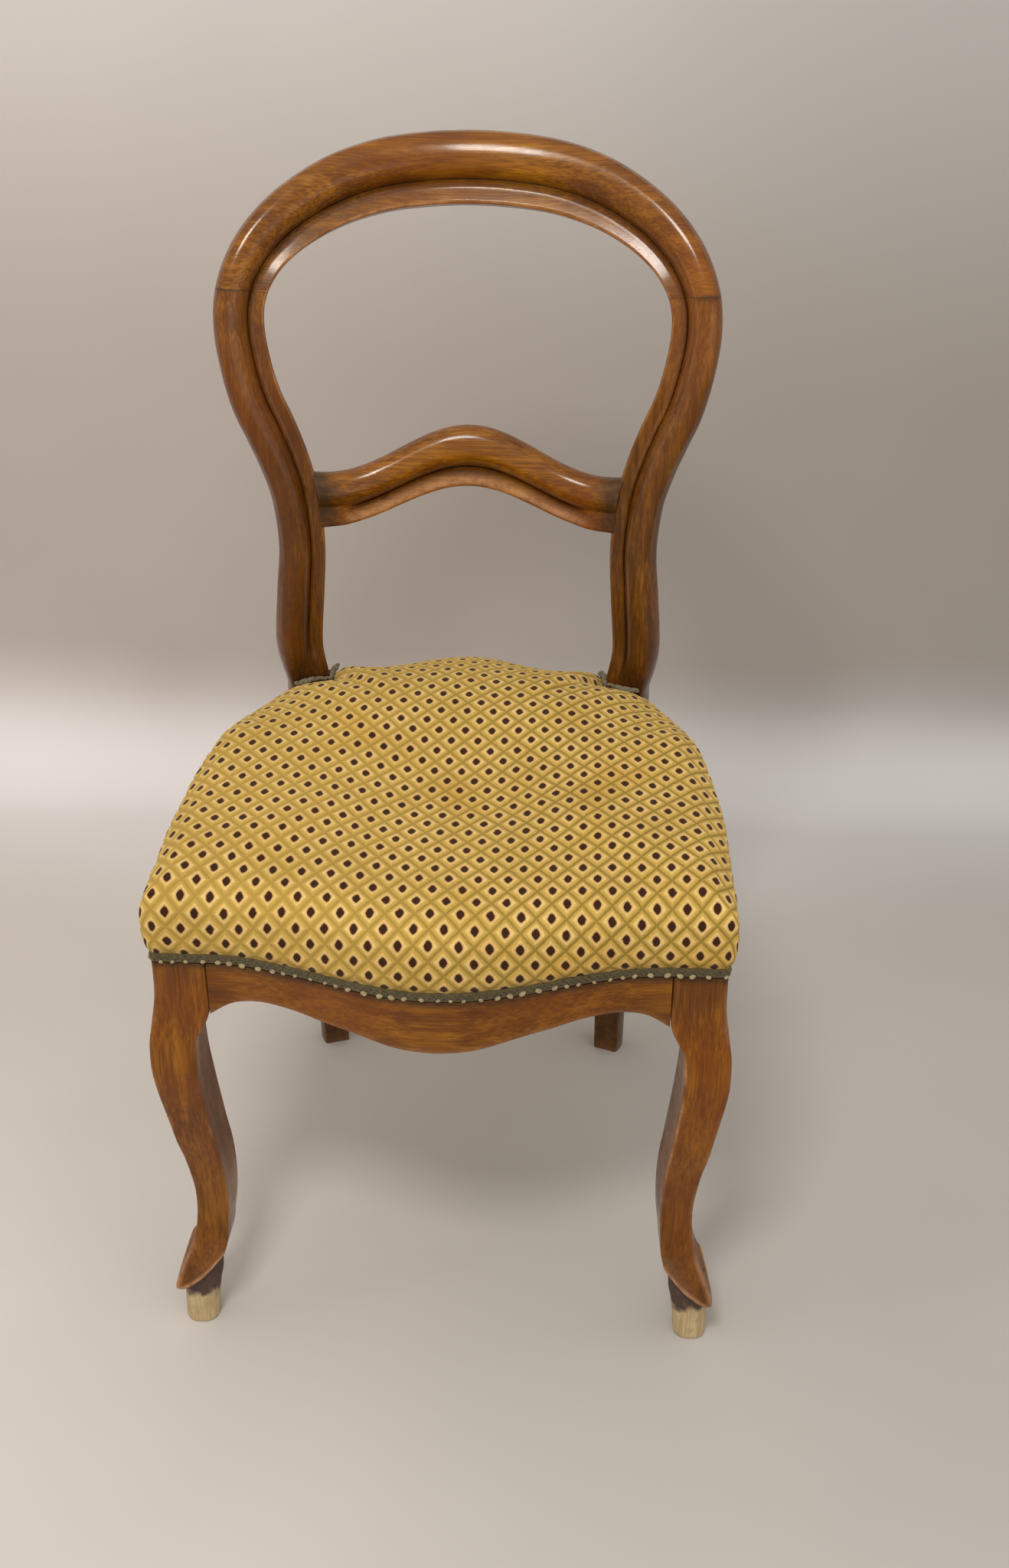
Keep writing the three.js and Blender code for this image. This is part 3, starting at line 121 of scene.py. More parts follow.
def smoothstep(value: Array | float, start: float, end: float) -> Array:
    """Fade from 0 to 1 as value passes from start to end.

    Args:
        value: Where the fade is wanted.
        start: Value at which it begins.
        end: Value at which it is complete.

    Returns:
        The fade, of the same shape as value.
    """
    share = np.clip((np.asarray(value, float) - start) / (end - start), 0.0, 1.0)
    return share * share * (3.0 - 2.0 * share)


def lerp(low: Array | float, high: Array | float, share: Array | float) -> Array:
    """Straight mix of low and high."""
    return np.asarray(low) + (np.asarray(high) - np.asarray(low)) * share


def bump_at(value: Array | float, middle: float, reach: float) -> Array:
    """Rounded hill of height 1 at middle that dies out within reach."""
    return np.exp(-((np.asarray(value, float) - middle) / reach) ** 2)


def strongest(*shares: Array | float) -> Array:
    """The largest of several shares at each point."""
    made = np.asarray(shares[0], float)
    for share in shares[1:]:
        made = np.maximum(made, share)
    return made


def unit(vectors: Array) -> Array:
    """The vectors at length one."""
    return vectors / np.linalg.norm(vectors, axis=-1, keepdims=True)


def run_along(path: Array) -> Array:
    """Distance from the start of a path to each of its points."""
    return np.concatenate([[0.0], np.cumsum(np.linalg.norm(np.diff(path, axis=0), axis=1))])


def at_height(flat: Array, z: Array | float) -> Array:
    """Level places lifted to a height."""
    return np.column_stack([flat, np.broadcast_to(z, len(flat))])


def away_from(centre_y: float, flat: Array) -> Array:
    """Unit vectors from the middle of the seat to level places."""
    return unit(flat - np.array([0.0, centre_y]))


def gathered(flat: Array, share: float, centre_y: float) -> Array:
    """Level places drawn a share of the way to the middle of the seat."""
    return np.column_stack([flat[:, 0] * (1 - share), lerp(flat[:, 1], centre_y, share)])


@dataclass(frozen=True)
class ShapeCurve:
    """Smooth curve through rows whose first column rises."""

    rows: Rows

    def at(self, key: Array | float, column: int = 1) -> Array:
        """Value of the curve.

        Args:
            key: Places in the first column.
            column: Which column is read.

        Returns:
            The value at each place, from a cubic through the rows.
        """
        table = np.array(self.rows)
        keys, values = table[:, 0], table[:, column]
        last = len(keys) - 1
        after = np.minimum(np.arange(last + 1) + 1, last)
        before = np.maximum(np.arange(last + 1) - 1, 0)
        slopes = (values[after] - values[before]) / (keys[after] - keys[before])
        place = np.clip(np.asarray(key, float), keys[0], keys[-1])
        i = np.clip(np.searchsorted(keys, place, side="right") - 1, 0, last - 1)
        span = keys[i + 1] - keys[i]
        t = (place - keys[i]) / span
        t2, t3 = t * t, t * t * t
        return ((2 * t3 - 3 * t2 + 1) * values[i] + (t3 - 2 * t2 + t) * span * slopes[i]
                + (3 * t2 - 2 * t3) * values[i + 1] + (t3 - t2) * span * slopes[i + 1])


def through(points: Array, place: Array) -> Array:
    """Catmull-Rom curve through points spaced one apart.

    Args:
        points: One row for each point.
        place: Places along the curve, from 0 to the last point.

    Returns:
        One row for each place.
    """
    last = len(points) - 1
    i = np.clip(np.floor(place).astype(int), 0, last - 1)
    t = (place - i)[:, None]
    extended = np.vstack([2 * points[0] - points[1], points, 2 * points[-1] - points[-2]])
    a, b, c, d = (extended[i + k] for k in range(4))
    return b + 0.5 * t * (c - a + t * (2 * a - 5 * b + 4 * c - d + t * (3 * (b - c) + d - a)))


def cloudiness(points: Array, pitch: float, seed: float) -> Array:
    """Repeatable smooth noise from -1 to 1 at each point.

    Args:
        points: Places in metres, in rows or in a grid.
        pitch: Size of a cloud in metres.
        seed: Shift that makes one pattern differ from another.

    Returns:
        One value for each point, in the same rows or grid.
    """
    shift = Vector((seed, 1.7 * seed, -0.6 * seed))
    values = [noise.noise(Vector(p) / pitch + shift) for p in points.reshape(-1, 3)]
    return np.array(values).reshape(points.shape[:-1])


# Meshes

@dataclass
class Skin:
    """A grid of rings that becomes one mesh, with the shares its finish reads.

    The shares are point attributes: grain holds the place in the board with the grain running along
    its last number, the grime share is dirt in hollows together with painted shade, and the wear share
    is rubbing on edges together with a painted highlight band.
    """

    name: str
    grid: Array
    around: bool = True
    capped: bool = True
    grime: Array | float = 0.0
    wear: Array | float = 0.0
    grain: Grain = Grain.UPRIGHT
    board: float = 0.0
    sharp_degrees: float = 38.0
    uv: Array | None = None

    def faces(self) -> list[tuple[int, ...]]:
        """Quads between the rings, and one cap at each end."""
        rings, count = self.grid.shape[:2]
        columns = count if self.around else count - 1
        quads = [
            (r * count + i, r * count + (i + 1) % count, (r + 1) * count + (i + 1) % count, (r + 1) * count + i)
            for r in range(rings - 1) for i in range(columns)
        ]
        if self.capped:
            quads.append(tuple(range(count - 1, -1, -1)))
            quads.append(tuple((rings - 1) * count + i for i in range(count)))
        return quads

    def build(self) -> Object:
        """The finished object, smooth with its sharp edges kept."""
        points = self.grid.reshape(-1, 3)
        mesh = bpy.data.meshes.new(self.name)
        mesh.from_pydata(points.tolist(), [], self.faces())
        if signed_volume(mesh) < 0:
            mesh.flip_normals()
        order = list(self.grain.value)
        place = points[:, order] + np.array([self.board, 0.37 * self.board, 0.0])
        put_vector(mesh, "grain", place)
        shape = self.grid.shape[:2]
        for label, share in (("grime", self.grime), ("wear", self.wear)):
            put_share(mesh, label, np.broadcast_to(share, shape).reshape(-1))
        if self.uv is not None:
            put_vector(mesh, "weave", self.uv.reshape(-1, 3))
        smooth_shaded(mesh, self.sharp_degrees)
        return placed(self.name, mesh)


def signed_volume(mesh: Mesh) -> float:
    """Volume of a closed mesh, negative where it is inside out."""
    points = np.empty(len(mesh.vertices) * 3)
    mesh.vertices.foreach_get("co", points)
    points = points.reshape(-1, 3)
    mesh.calc_loop_triangles()
    corners = np.empty(len(mesh.loop_triangles) * 3, np.int32)
    mesh.loop_triangles.foreach_get("vertices", corners)
    a, b, c = (points[corners[k::3]] for k in range(3))
    return float(np.einsum("ij,ij->i", a, np.cross(b, c)).sum() / 6)


def put_share(mesh: Mesh, label: str, values: Array) -> None:
    """Store one number for each point under a label."""
    attribute = mesh.attributes.new(label, "FLOAT", "POINT")
    attribute.data.foreach_set("value", np.clip(values, 0.0, 1.0).astype(np.float32))


def put_vector(mesh: Mesh, label: str, values: Array) -> None:
    """Store three numbers for each point under a label."""
    attribute = mesh.attributes.new(label, "FLOAT_VECTOR", "POINT")
    attribute.data.foreach_set("vector", np.ascontiguousarray(values, np.float32).reshape(-1))


def smooth_shaded(mesh: Mesh, degrees: float) -> None:
    """Shade the mesh smooth and keep edges sharper than the angle."""
    mesh.polygons.foreach_set("use_smooth", np.ones(len(mesh.polygons), bool))
    mesh.set_sharp_from_angle(angle=math.radians(degrees))
    mesh.update()


def placed(name: str, data: bpy.types.ID) -> Object:
    """An object of a mesh, a lamp or a camera in the scene."""
    made = bpy.data.objects.new(name, data)
    bpy.context.scene.collection.objects.link(made)
    return made


def discard(part: Object) -> None:
    """Take a piece that was only a step out of the file, with its mesh."""
    mesh = part.data
    bpy.data.objects.remove(part)
    bpy.data.meshes.remove(mesh)


def circle(count: int) -> Array:
    """Angles of evenly spaced points round a circle."""
    return np.linspace(0, 2 * math.pi, count, endpoint=False)


def flipped(grid: Array, side: Side) -> Array:
    """The grid itself on the right, and its mirror image on the left."""
    return grid * np.array([side.value, 1.0, 1.0])


def tube(path: Array, radius: Array | float, sides: int = 10, closed: bool = False) -> Array:
    """Rings of a round tube along a path.

    Args:
        path: Points of the middle line.
        radius: Radius at each point, or one for all.
        sides: Points round a ring.
        closed: Whether the path joins up with its start.

    Returns:
        A grid of rings for a Skin.
    """
    ahead, behind = np.roll(path, -1, axis=0), np.roll(path, 1, axis=0)
    if not closed:
        ahead[-1], behind[0] = path[-1], path[0]
    along = unit(ahead - behind)
    helper = np.array([0.0, 0.0, 1.0]) if np.abs(along[:, 2]).max() < 0.95 else np.array([0.31, 0.95, 0.05])
    first = unit(np.cross(along, helper))
    second = np.cross(along, first)
    turn = circle(sides)
    size = np.broadcast_to(radius, len(path))[:, None, None]
    ring = first[:, None] * np.cos(turn)[None, :, None] + second[:, None] * np.sin(turn)[None, :, None]
    return path[:, None] + size * ring


def seated(piece: Object | Skin, material: Material, slot: Slot, *nodes: str) -> Object:
    """Dress a piece, let it ride on the chair and hide the solids it stands for.

    Args:
        piece: The new piece, or the skin that it is built from.
        material: Its finish.
        slot: Slot of the record that the finish belongs to; not used.
        nodes: Names of the solids that it replaces.

    Returns:
        The piece.
    """
    piece = piece.build() if isinstance(piece, Skin) else piece
    piece.data.materials.append(material)
    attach(piece, "root")
    if nodes:
        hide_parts(*nodes)
    LOG.info("%s: %d faces", piece.name, len(piece.data.polygons))
    return piece


# Finishes

class Graph:
    """A material under construction."""

    def __init__(self, name: str) -> None:
        """Start a material with its one shader.

        Args:
            name: Name of the material.
        """
        self.material = bpy.data.materials.new(name)
        self.material.use_nodes = True
        self.tree = self.material.node_tree
        self.shader = self.tree.nodes["Principled BSDF"]

    def feed(self, target: Socket, value: object) -> None:
        """Link a socket into target, or set target to a plain value."""
        if isinstance(value, bpy.types.NodeSocket):
            self.tree.links.new(value, target)
        elif isinstance(value, tuple) and len(value) == 3 and target.type == "RGBA":
            target.default_value = (*value, 1.0)
        else:
            target.default_value = value

    def node(self, kind: str, **settings: object) -> bpy.types.Node:
        """A new node with its settings."""
        made = self.tree.nodes.new(kind)
        for key, value in settings.items():
            setattr(made, key, value)
        return made

    def shade(self, **inputs: object) -> None:
        """Set inputs of the shader, named with underscores for spaces."""
        self.inputs(self.shader, **inputs)

    def math(self, operation: str, a: object, b: object = 0.0) -> Socket:
        """A sum of two numbers.

        Args:
            operation: Name of the operation, such as ADD or POWER.
            a: First number or socket.
            b: Second number or socket.

        Returns:
            The result.
        """
        made = self.node("ShaderNodeMath", operation=operation)
        self.feed(made.inputs[0], a)
        self.feed(made.inputs[1], b)
        return made.outputs[0]

    def plus(self, a: object, b: object) -> Socket:
        """a + b."""
        return self.math("ADD", a, b)

    def less(self, a: object, b: object) -> Socket:
        """a - b."""
        return self.math("SUBTRACT", a, b)

    def times(self, a: object, b: object) -> Socket:
        """a * b."""
        return self.math("MULTIPLY", a, b)

    def inputs(self, made: bpy.types.Node, **values: object) -> None:
        """Set inputs of a node, named with underscores for spaces."""
        for key, value in values.items():
            self.feed(made.inputs[key.replace("_", " ")], value)

    def mix(self, share: object, first: object, second: object, blend: str = "MIX") -> Socket:
        """Mix of two colours.

        Args:
            share: How much of the second.
            first: First colour.
            second: Second colour.
            blend: How they are mixed.

        Returns:
            The mixed colour.
        """
        made = self.node("ShaderNodeMix", data_type="RGBA", blend_type=blend)
        self.feed(made.inputs[0], share)
        self.feed(made.inputs[6], first)
        self.feed(made.inputs[7], second)
        return made.outputs[2]

    def share(self, label: str) -> Socket:
        """A share stored on the mesh."""
        return self.node("ShaderNodeAttribute", attribute_name=label).outputs["Fac"]

    def place(self, label: str) -> Socket:
        """A place stored on the mesh."""
        return self.node("ShaderNodeAttribute", attribute_name=label).outputs["Vector"]

    def parts(self, vector: Socket) -> list[Socket]:
        """The x, y and z of a vector."""
        made = self.node("ShaderNodeSeparateXYZ")
        self.feed(made.inputs[0], vector)
        return list(made.outputs)

    def scaled(self, vector: Socket, scale: Triple) -> Socket:
        """The vector stretched along its axes."""
        made = self.node("ShaderNodeMapping")
        self.inputs(made, Vector=vector, Scale=scale)
        return made.outputs[0]

    def cloud(self, vector: Socket, scale: float, detail: float = 4.0, distortion: float = 0.0) -> Socket:
        """Cloudy noise from 0 to 1."""
        made = self.node("ShaderNodeTexNoise")
        self.inputs(made, Vector=vector, Scale=scale, Detail=detail, Distortion=distortion)
        return made.outputs["Fac"]

    def levels(self, value: Socket, low: float, high: float, to: tuple[float, float] = (0.0, 1.0)) -> Socket:
        """Value stretched so that low and high become the two ends of to."""
        made = self.node("ShaderNodeMapRange", interpolation_type="SMOOTHSTEP")
        self.inputs(made, Value=value, From_Min=low, From_Max=high, To_Min=to[0], To_Max=to[1])
        return made.outputs["Result"]

    def ramp(self, value: Socket, stops: Sequence[tuple[float, Triple]]) -> Socket:
        """Colour that passes through the stops as value rises."""
        made = self.node("ShaderNodeValToRGB")
        points = made.color_ramp.elements
        while len(points) < len(stops):
            points.new(0.5)
        for point, (position, colour) in zip(points, stops):
            point.position = position
            point.color = (*colour, 1.0)
        self.feed(made.inputs[0], value)
        return made.outputs["Color"]

    def bump(self, height: Socket, distance: float, strength: float = 1.0, under: Socket | None = None) -> Socket:
        """Surface relief.

        Args:
            height: Relief from 0 to 1.
            distance: Height of a full step in metres.
            strength: How much of it shows.
            under: Relief that this one lies on.

        Returns:
            The normal.
        """
        made = self.node("ShaderNodeBump")
        self.inputs(made, Height=height, Distance=distance, Strength=strength)
        if under is not None:
            self.feed(made.inputs["Normal"], under)
        return made.outputs[0]


@dataclass(frozen=True)
class Finish:
    """Look of a surface, which becomes one material."""

    name: str

    def paint(self, g: Graph) -> None:
        """Set up the shader."""
        raise NotImplementedError

    def make(self) -> Material:
        """The finish as a material."""
        g = Graph(self.name)
        self.paint(g)
        return g.material


@dataclass(frozen=True)
class PolishedWood(Finish):
    """French-polished walnut, clouded brown under a glossy skin, with dirt and painted shade in hollows."""

    name: str = "french_polished_walnut"
    deep: Colour = (0.046, 0.0105, 0.0008)
    body: Colour = (0.128, 0.036, 0.0010)
    gold: Colour = (0.350, 0.130, 0.0045)
    amber: Colour = (0.180, 0.040, 0.0007)
    # colour of dirt and of painted shade in the hollows
    dirt: Colour = (0.012, 0.007, 0.0035)
    # pale colour of worn edges and of a painted highlight band
    rubbed: Colour = (0.60, 0.30, 0.135)
    streak_scale: Triple = (620.0, 620.0, 16.0)
    figure_scale: Triple = (78.0, 78.0, 3.4)
    gloss: float = 0.24
    shellac: Colour = (1.0, 0.78, 0.47)

    def paint(self, g: Graph) -> None:
        """Set up the shader."""
        grain = g.place("grain")
        mottle = g.cloud(g.scaled(grain, (1.0, 1.0, 0.42)), 30.0, 5.0, 0.4)
        broad = g.cloud(grain, 7.0, 2.0)
        figure = g.cloud(g.scaled(grain, self.figure_scale), 1.0, 4.0, 0.9)
        fibre = g.cloud(g.scaled(grain, self.streak_scale), 1.0, 5.0)
        tone = g.plus(g.times(mottle, 0.34), g.times(figure, 0.30))
        tone = g.plus(tone, g.times(fibre, 0.36))
        wood = g.ramp(tone, [(0.30, self.deep), (0.47, self.body), (0.68, self.gold), (0.8, self.gold)])
        wood = g.mix(g.levels(broad, 0.40, 0.68, (0.0, 0.5)), wood, self.amber)
        pores = g.levels(g.cloud(g.scaled(grain, (1500.0, 1500.0, 48.0)), 1.0, 2.0), 0.28, 0.42)
        wood = g.mix(g.times(g.less(1.0, pores), 0.45), wood, self.deep)
        patchy = g.cloud(grain, 160.0, 4.0)
        # paler where rubbed, and in a painted highlight band
        wear = g.times(g.share("wear"), g.levels(patchy, 0.3, 0.62, (0.35, 1.0)))
        wood = g.mix(wear, wood, self.rubbed)
        # darker with dirt, and with painted shade
        grime = g.times(g.share("grime"), g.levels(patchy, 0.28, 0.6, (0.72, 1.0)))
        wood = g.mix(grime, wood, self.dirt)
        rough = g.plus(g.levels(g.cloud(grain, 55.0, 4.0), 0.3, 0.7, (self.gloss - 0.07, self.gloss + 0.09)),
                       g.times(grime, 0.3))
        waves = g.bump(g.cloud(grain, 42.0, 2.0), 0.0011, 0.22)
        relief = g.bump(g.plus(fibre, g.times(pores, 0.6)), 0.00022, 0.35, waves)
        g.shade(Base_Color=wood, Roughness=rough, Normal=relief, Coat_Weight=0.36, Coat_Roughness=0.13, IOR=1.45,
                Specular_IOR_Level=0.2, Specular_Tint=self.shellac)


@dataclass(frozen=True)
class BareWood(Finish):
    """Wood without polish: pale end of a worn foot, or a raw block inside the seat."""

    pale: Colour
    mid: Colour
    dirt: Colour = (0.055, 0.028, 0.018)
    streak_scale: Triple = (430.0, 430.0, 22.0)
    stored_grain: bool = True

    def paint(self, g: Graph) -> None:
        """Set up the shader."""
        grain = g.place("grain") if self.stored_grain else g.node("ShaderNodeTexCoord").outputs["Object"]
        fibre = g.cloud(g.scaled(grain, self.streak_scale), 1.0, 5.0)
        mottle = g.cloud(grain, 85.0, 4.0)
        wood = g.mix(g.levels(fibre, 0.3, 0.72), self.mid, self.pale)
        stain = g.plus(g.share("grime"), g.levels(mottle, 0.3, 0.75, (-0.22, 0.3)))
        stain = g.levels(g.plus(stain, g.times(g.less(fibre, 0.5), 0.8)), 0.1, 0.75)
        wood = g.mix(stain, wood, self.dirt)
        relief = g.bump(g.plus(fibre, mottle), 0.0006, 0.5)
        g.shade(Base_Color=wood, Roughness=0.72, Normal=relief)


@dataclass(frozen=True)
class CutVelvet(Finish):
    """Straw-gold cut velvet with a lattice of lozenges, each with a dark seed."""

    name: str = "lozenge_cut_velvet"
    pitch: float = 0.02226
    row: float = 0.01309
    seed_half_width: float = 0.0031
    seed_half_height: float = 0.0045
    gold: Colour = (0.48, 0.300, 0.054)
    ochre: Colour = (0.54, 0.290, 0.034)
    cream: Colour = (0.75, 0.535, 0.205)
    furrow: Colour = (0.250, 0.165, 0.030)
    seed: Colour = (0.020, 0.0022, 0.0014)
    halo: Colour = (0.36, 0.135, 0.042)

    def lozenge(self, u: Array, v: Array) -> tuple[Array, Array]:
        """Relief of the pile for the mesh.

        Args:
            u: Places across the cloth.
            v: Places along the cloth.

        Returns:
            How far each place is out from the middle of its lozenge, 0 to 1, and from its seed.
        """
        p, q = u / self.pitch + v / (2 * self.row), u / self.pitch - v / (2 * self.row)
        sp, sq = p - np.floor(p) - 0.5, q - np.floor(q) - 0.5
        out = 2 * np.maximum(np.abs(sp), np.abs(sq))
        across, along = self.pitch * (sp + sq) / 2, self.row * (sp - sq)
        seed = (np.abs(across) / self.seed_half_width) ** 1.5 + (np.abs(along) / self.seed_half_height) ** 1.5
        return out, seed

    def paint(self, g: Graph) -> None:
        """Set up the shader."""
        weave = g.place("weave")
        place = g.parts(weave)
        wobble = g.times(g.less(g.cloud(weave, 260.0, 3.0), 0.5), 0.09)
        across = g.plus(g.math("DIVIDE", place[0], self.pitch), wobble)
        along = g.math("DIVIDE", place[1], 2 * self.row)
        signed = [
            g.less(g.math("FRACT", g.math(kind, across, along)), 0.5) for kind in ("ADD", "SUBTRACT")
        ]
        out = g.math("MAXIMUM", *(g.math("ABSOLUTE", s) for s in signed))
        seed_u = g.math("ABSOLUTE", g.times(g.plus(*signed), self.pitch / 2 / self.seed_half_width))
        seed_v = g.math("ABSOLUTE", g.times(g.less(*signed), self.row / self.seed_half_height))
        seed = g.plus(g.math("POWER", seed_u, 1.5), g.math("POWER", seed_v, 1.5))
        shade = g.cloud(weave, 21.0, 3.0)
        pile = g.mix(g.levels(out, 0.26, 0.36, (0.95, 0.12)), self.gold, self.cream)
        pile = g.mix(g.levels(shade, 0.35, 0.65, (0.0, 0.28)), pile, self.gold)
        pile = g.mix(g.levels(g.cloud(weave, 11.0, 2.0), 0.54, 0.7, (0.0, 0.36)), pile, self.ochre)
        # painted light: the furrows fade to the left, where the pile catches the light, and one set is a little fainter
        laid = g.levels(place[0], -0.14, 0.12, (0.42, 0.92))
        lines = [g.levels(g.math("ABSOLUTE", s), 0.41, 0.475, (0.0, depth)) for s, depth in zip(signed, (0.9, 1.0))]
        cloth = g.mix(g.times(g.math("MAXIMUM", *lines), laid), pile, self.furrow)
        halo = g.levels(seed, 0.9, 1.9, (0.5, 0.0))
        cloth = g.mix(halo, cloth, self.halo)
        cloth = g.mix(g.levels(seed, 0.78, 1.18, (0.96, 0.0)), cloth, self.seed)
        pile_noise = g.cloud(weave, 1700.0, 3.0)
        cloth = g.mix(g.levels(pile_noise, 0.3, 0.75, (0.24, 0.0)), cloth, (0.25, 0.14, 0.04), "MULTIPLY")
        cloth = g.mix(g.times(g.share("grime"), 0.5), cloth, (0.16, 0.09, 0.04), "MULTIPLY")
        height = g.less(g.times(pile_noise, 0.35), g.levels(out, 0.38, 0.47, (0.0, 1.0)))
        relief = g.bump(height, 0.0007, 0.55)
        g.shade(Base_Color=cloth, Roughness=0.88, Normal=relief, Sheen_Weight=0.16, Sheen_Roughness=0.42,
                Sheen_Tint=(1.0, 0.84, 0.5), Specular_IOR_Level=0.08)


@dataclass(frozen=True)
class Yarn(Finish):
    """Twisted yarn of a braid."""

    dark: Colour
    light: Colour
    twist: float = 900.0
    sheen: float = 0.2

    def paint(self, g: Graph) -> None:
        """Set up the shader."""
        place = g.place("grain")
        twist = g.node("ShaderNodeTexWave", wave_type="BANDS", bands_direction="DIAGONAL")
        g.inputs(twist, Vector=place, Scale=self.twist, Distortion=2.2, Detail=2.0)
        mottle = g.cloud(place, 210.0, 4.0)
        tone = g.plus(g.times(twist.outputs["Fac"], 0.4), g.times(mottle, 0.6))
        yarn = g.mix(g.levels(tone, 0.25, 0.72), self.dark, self.light)
        relief = g.bump(twist.outputs["Fac"], 0.0004, 0.6)
        g.shade(Base_Color=yarn, Roughness=0.85, Normal=relief, Sheen_Weight=self.sheen, Sheen_Roughness=0.5,
                Specular_IOR_Level=0.15)


@dataclass(frozen=True)
class PlainWeave(Finish):
    """Coarse plain-woven jute."""

    name: str = "coarse_jute"
    thread: float = 0.0016
    dark: Colour = (0.16, 0.105, 0.052)
    light: Colour = (0.46, 0.335, 0.18)

    def paint(self, g: Graph) -> None:
        """Set up the shader."""
        weave = g.place("weave")
        place = g.parts(weave)
        crowns = [g.math("SINE", g.times(place[axis], math.pi / self.thread)) for axis in (0, 1)]
        crossing = g.math("MULTIPLY", *crowns)
        crown = g.math("ABSOLUTE", crossing)
        tufts = g.cloud(weave, 700.0, 4.0)
        tone = g.plus(g.times(crown, 0.5), g.times(tufts, 0.5))
        tone = g.plus(tone, g.times(crossing, 0.12))
        cloth = g.mix(g.levels(tone, 0.22, 0.7), self.dark, self.light)
        g.shade(Base_Color=cloth, Roughness=0.92, Normal=g.bump(tone, 0.0006, 0.7), Specular_IOR_Level=0.1)


@dataclass(frozen=True)
class DullSteel(Finish):
    """Drawn wire and screw steel with a film of old oil and rust."""

    name: str = "old_drawn_steel"
    bright: Colour = (0.32, 0.30, 0.275)
    rust: Colour = (0.13, 0.055, 0.024)

    def paint(self, g: Graph) -> None:
        """Set up the shader."""
        place = g.node("ShaderNodeTexCoord").outputs["Object"]
        patches = g.cloud(place, 120.0, 5.0)
        rust = g.levels(patches, 0.52, 0.68)
        colour = g.mix(rust, self.bright, self.rust)
        metal = g.less(1.0, g.times(rust, 0.8))
        rough = g.levels(patches, 0.3, 0.7, (0.36, 0.72))
        g.shade(Base_Color=colour, Metallic=metal, Roughness=rough, Normal=g.bump(patches, 0.0003, 0.4))


@dataclass(frozen=True)
class StudioPaper(Finish):
    """Plain matt floor and backdrop, a little cloudy, with painted light and shade:
    a lighter band at the seam, painted shade up the wall and to the right, and painted light high up.

    The camera looks through its rear face, so that the chair shows from behind and from below.
    """

    name: str = "pale_sweep"
    floor: Colour = (0.60, 0.545, 0.49)
    # seam, wall, top and right are painted light and shade on the one paper
    seam: Colour = (0.70, 0.65, 0.62)
    wall: Colour = (0.44, 0.38, 0.335)
    top: Colour = (0.60, 0.55, 0.51)
    right: Colour = (0.72, 0.74, 0.74)

    def paint(self, g: Graph) -> None:
        """Set up the shader."""
        place = g.node("ShaderNodeTexCoord").outputs["Object"]
        x, y, z = g.parts(place)
        cloud = g.cloud(place, 1.6, 3.0)
        height = g.plus(z, g.times(g.less(cloud, 0.5), 0.10))
        # painted light: a lighter band where the floor turns up into the wall
        paper = g.mix(g.levels(y, 0.35, 0.66), self.floor, self.seam)
        # painted shade: darker up the wall
        paper = g.mix(g.levels(height, 0.03, 0.2), paper, self.wall)
        # painted light: lighter again high on the wall
        paper = g.mix(g.levels(height, 0.5, 1.05), paper, self.top)
        # painted shade: darker to the right
        paper = g.mix(g.levels(x, -0.5, 0.7), paper, g.mix(1.0, paper, self.right, "MULTIPLY"))
        shade = g.mix(g.levels(cloud, 0.35, 0.7, (0.0, 0.16)), paper, (0.5, 0.48, 0.46), "MULTIPLY")
        rear = g.node("ShaderNodeNewGeometry").outputs["Backfacing"]
        seen = g.node("ShaderNodeLightPath").outputs["Is Camera Ray"]
        clear = g.times(rear, seen)
        g.shade(Base_Color=shade, Roughness=0.85, Specular_IOR_Level=0.2, Alpha=g.less(1.0, clear))


# The back: posts, crest and middle rail

@dataclass(frozen=True)
class BackSurface:
    """Hollow, leaning surface on which the faces of the posts, crest and middle rail lie."""

    shift: float
    seat_line: float = 0.434
    rise: float = 0.474
    stance: float = 0.205
    lean: float = 0.083
    radius: float = 0.385
    heel_sweep: float = 0.031
    heel_power: float = 1.8
    splay: float = 0.45

    def face_y(self, x: Array, z: Array) -> Array:
        """Depth place of the surface at x and z."""
        above = np.clip(z - self.seat_line, 0, None) / self.rise
        below = np.clip(self.seat_line - z, 0, None) / self.seat_line
        sweep = self.lean * above ** 2 + self.heel_sweep * below ** self.heel_power
        return self.stance + self.shift + sweep - x * x / (2 * self.radius)

    def into(self, x: Array, z: Array) -> Array:
        """Unit vectors into the back."""
        above = np.clip(z - self.seat_line, 0, None) / self.rise
        turn = lerp(1.0, self.splay, smoothstep(above, 0.0, 0.6))
        return unit(np.stack([turn * x / self.radius, np.ones_like(x), -2 * self.lean * above / self.rise], -1))

    def point(self, x: Array, z: Array, depth: Array) -> Array:
        """Places at a depth behind the surface."""
        on_face = np.stack([x, self.face_y(x, z), z], -1)
        return on_face + self.into(x, z) * np.asarray(depth)[..., None]


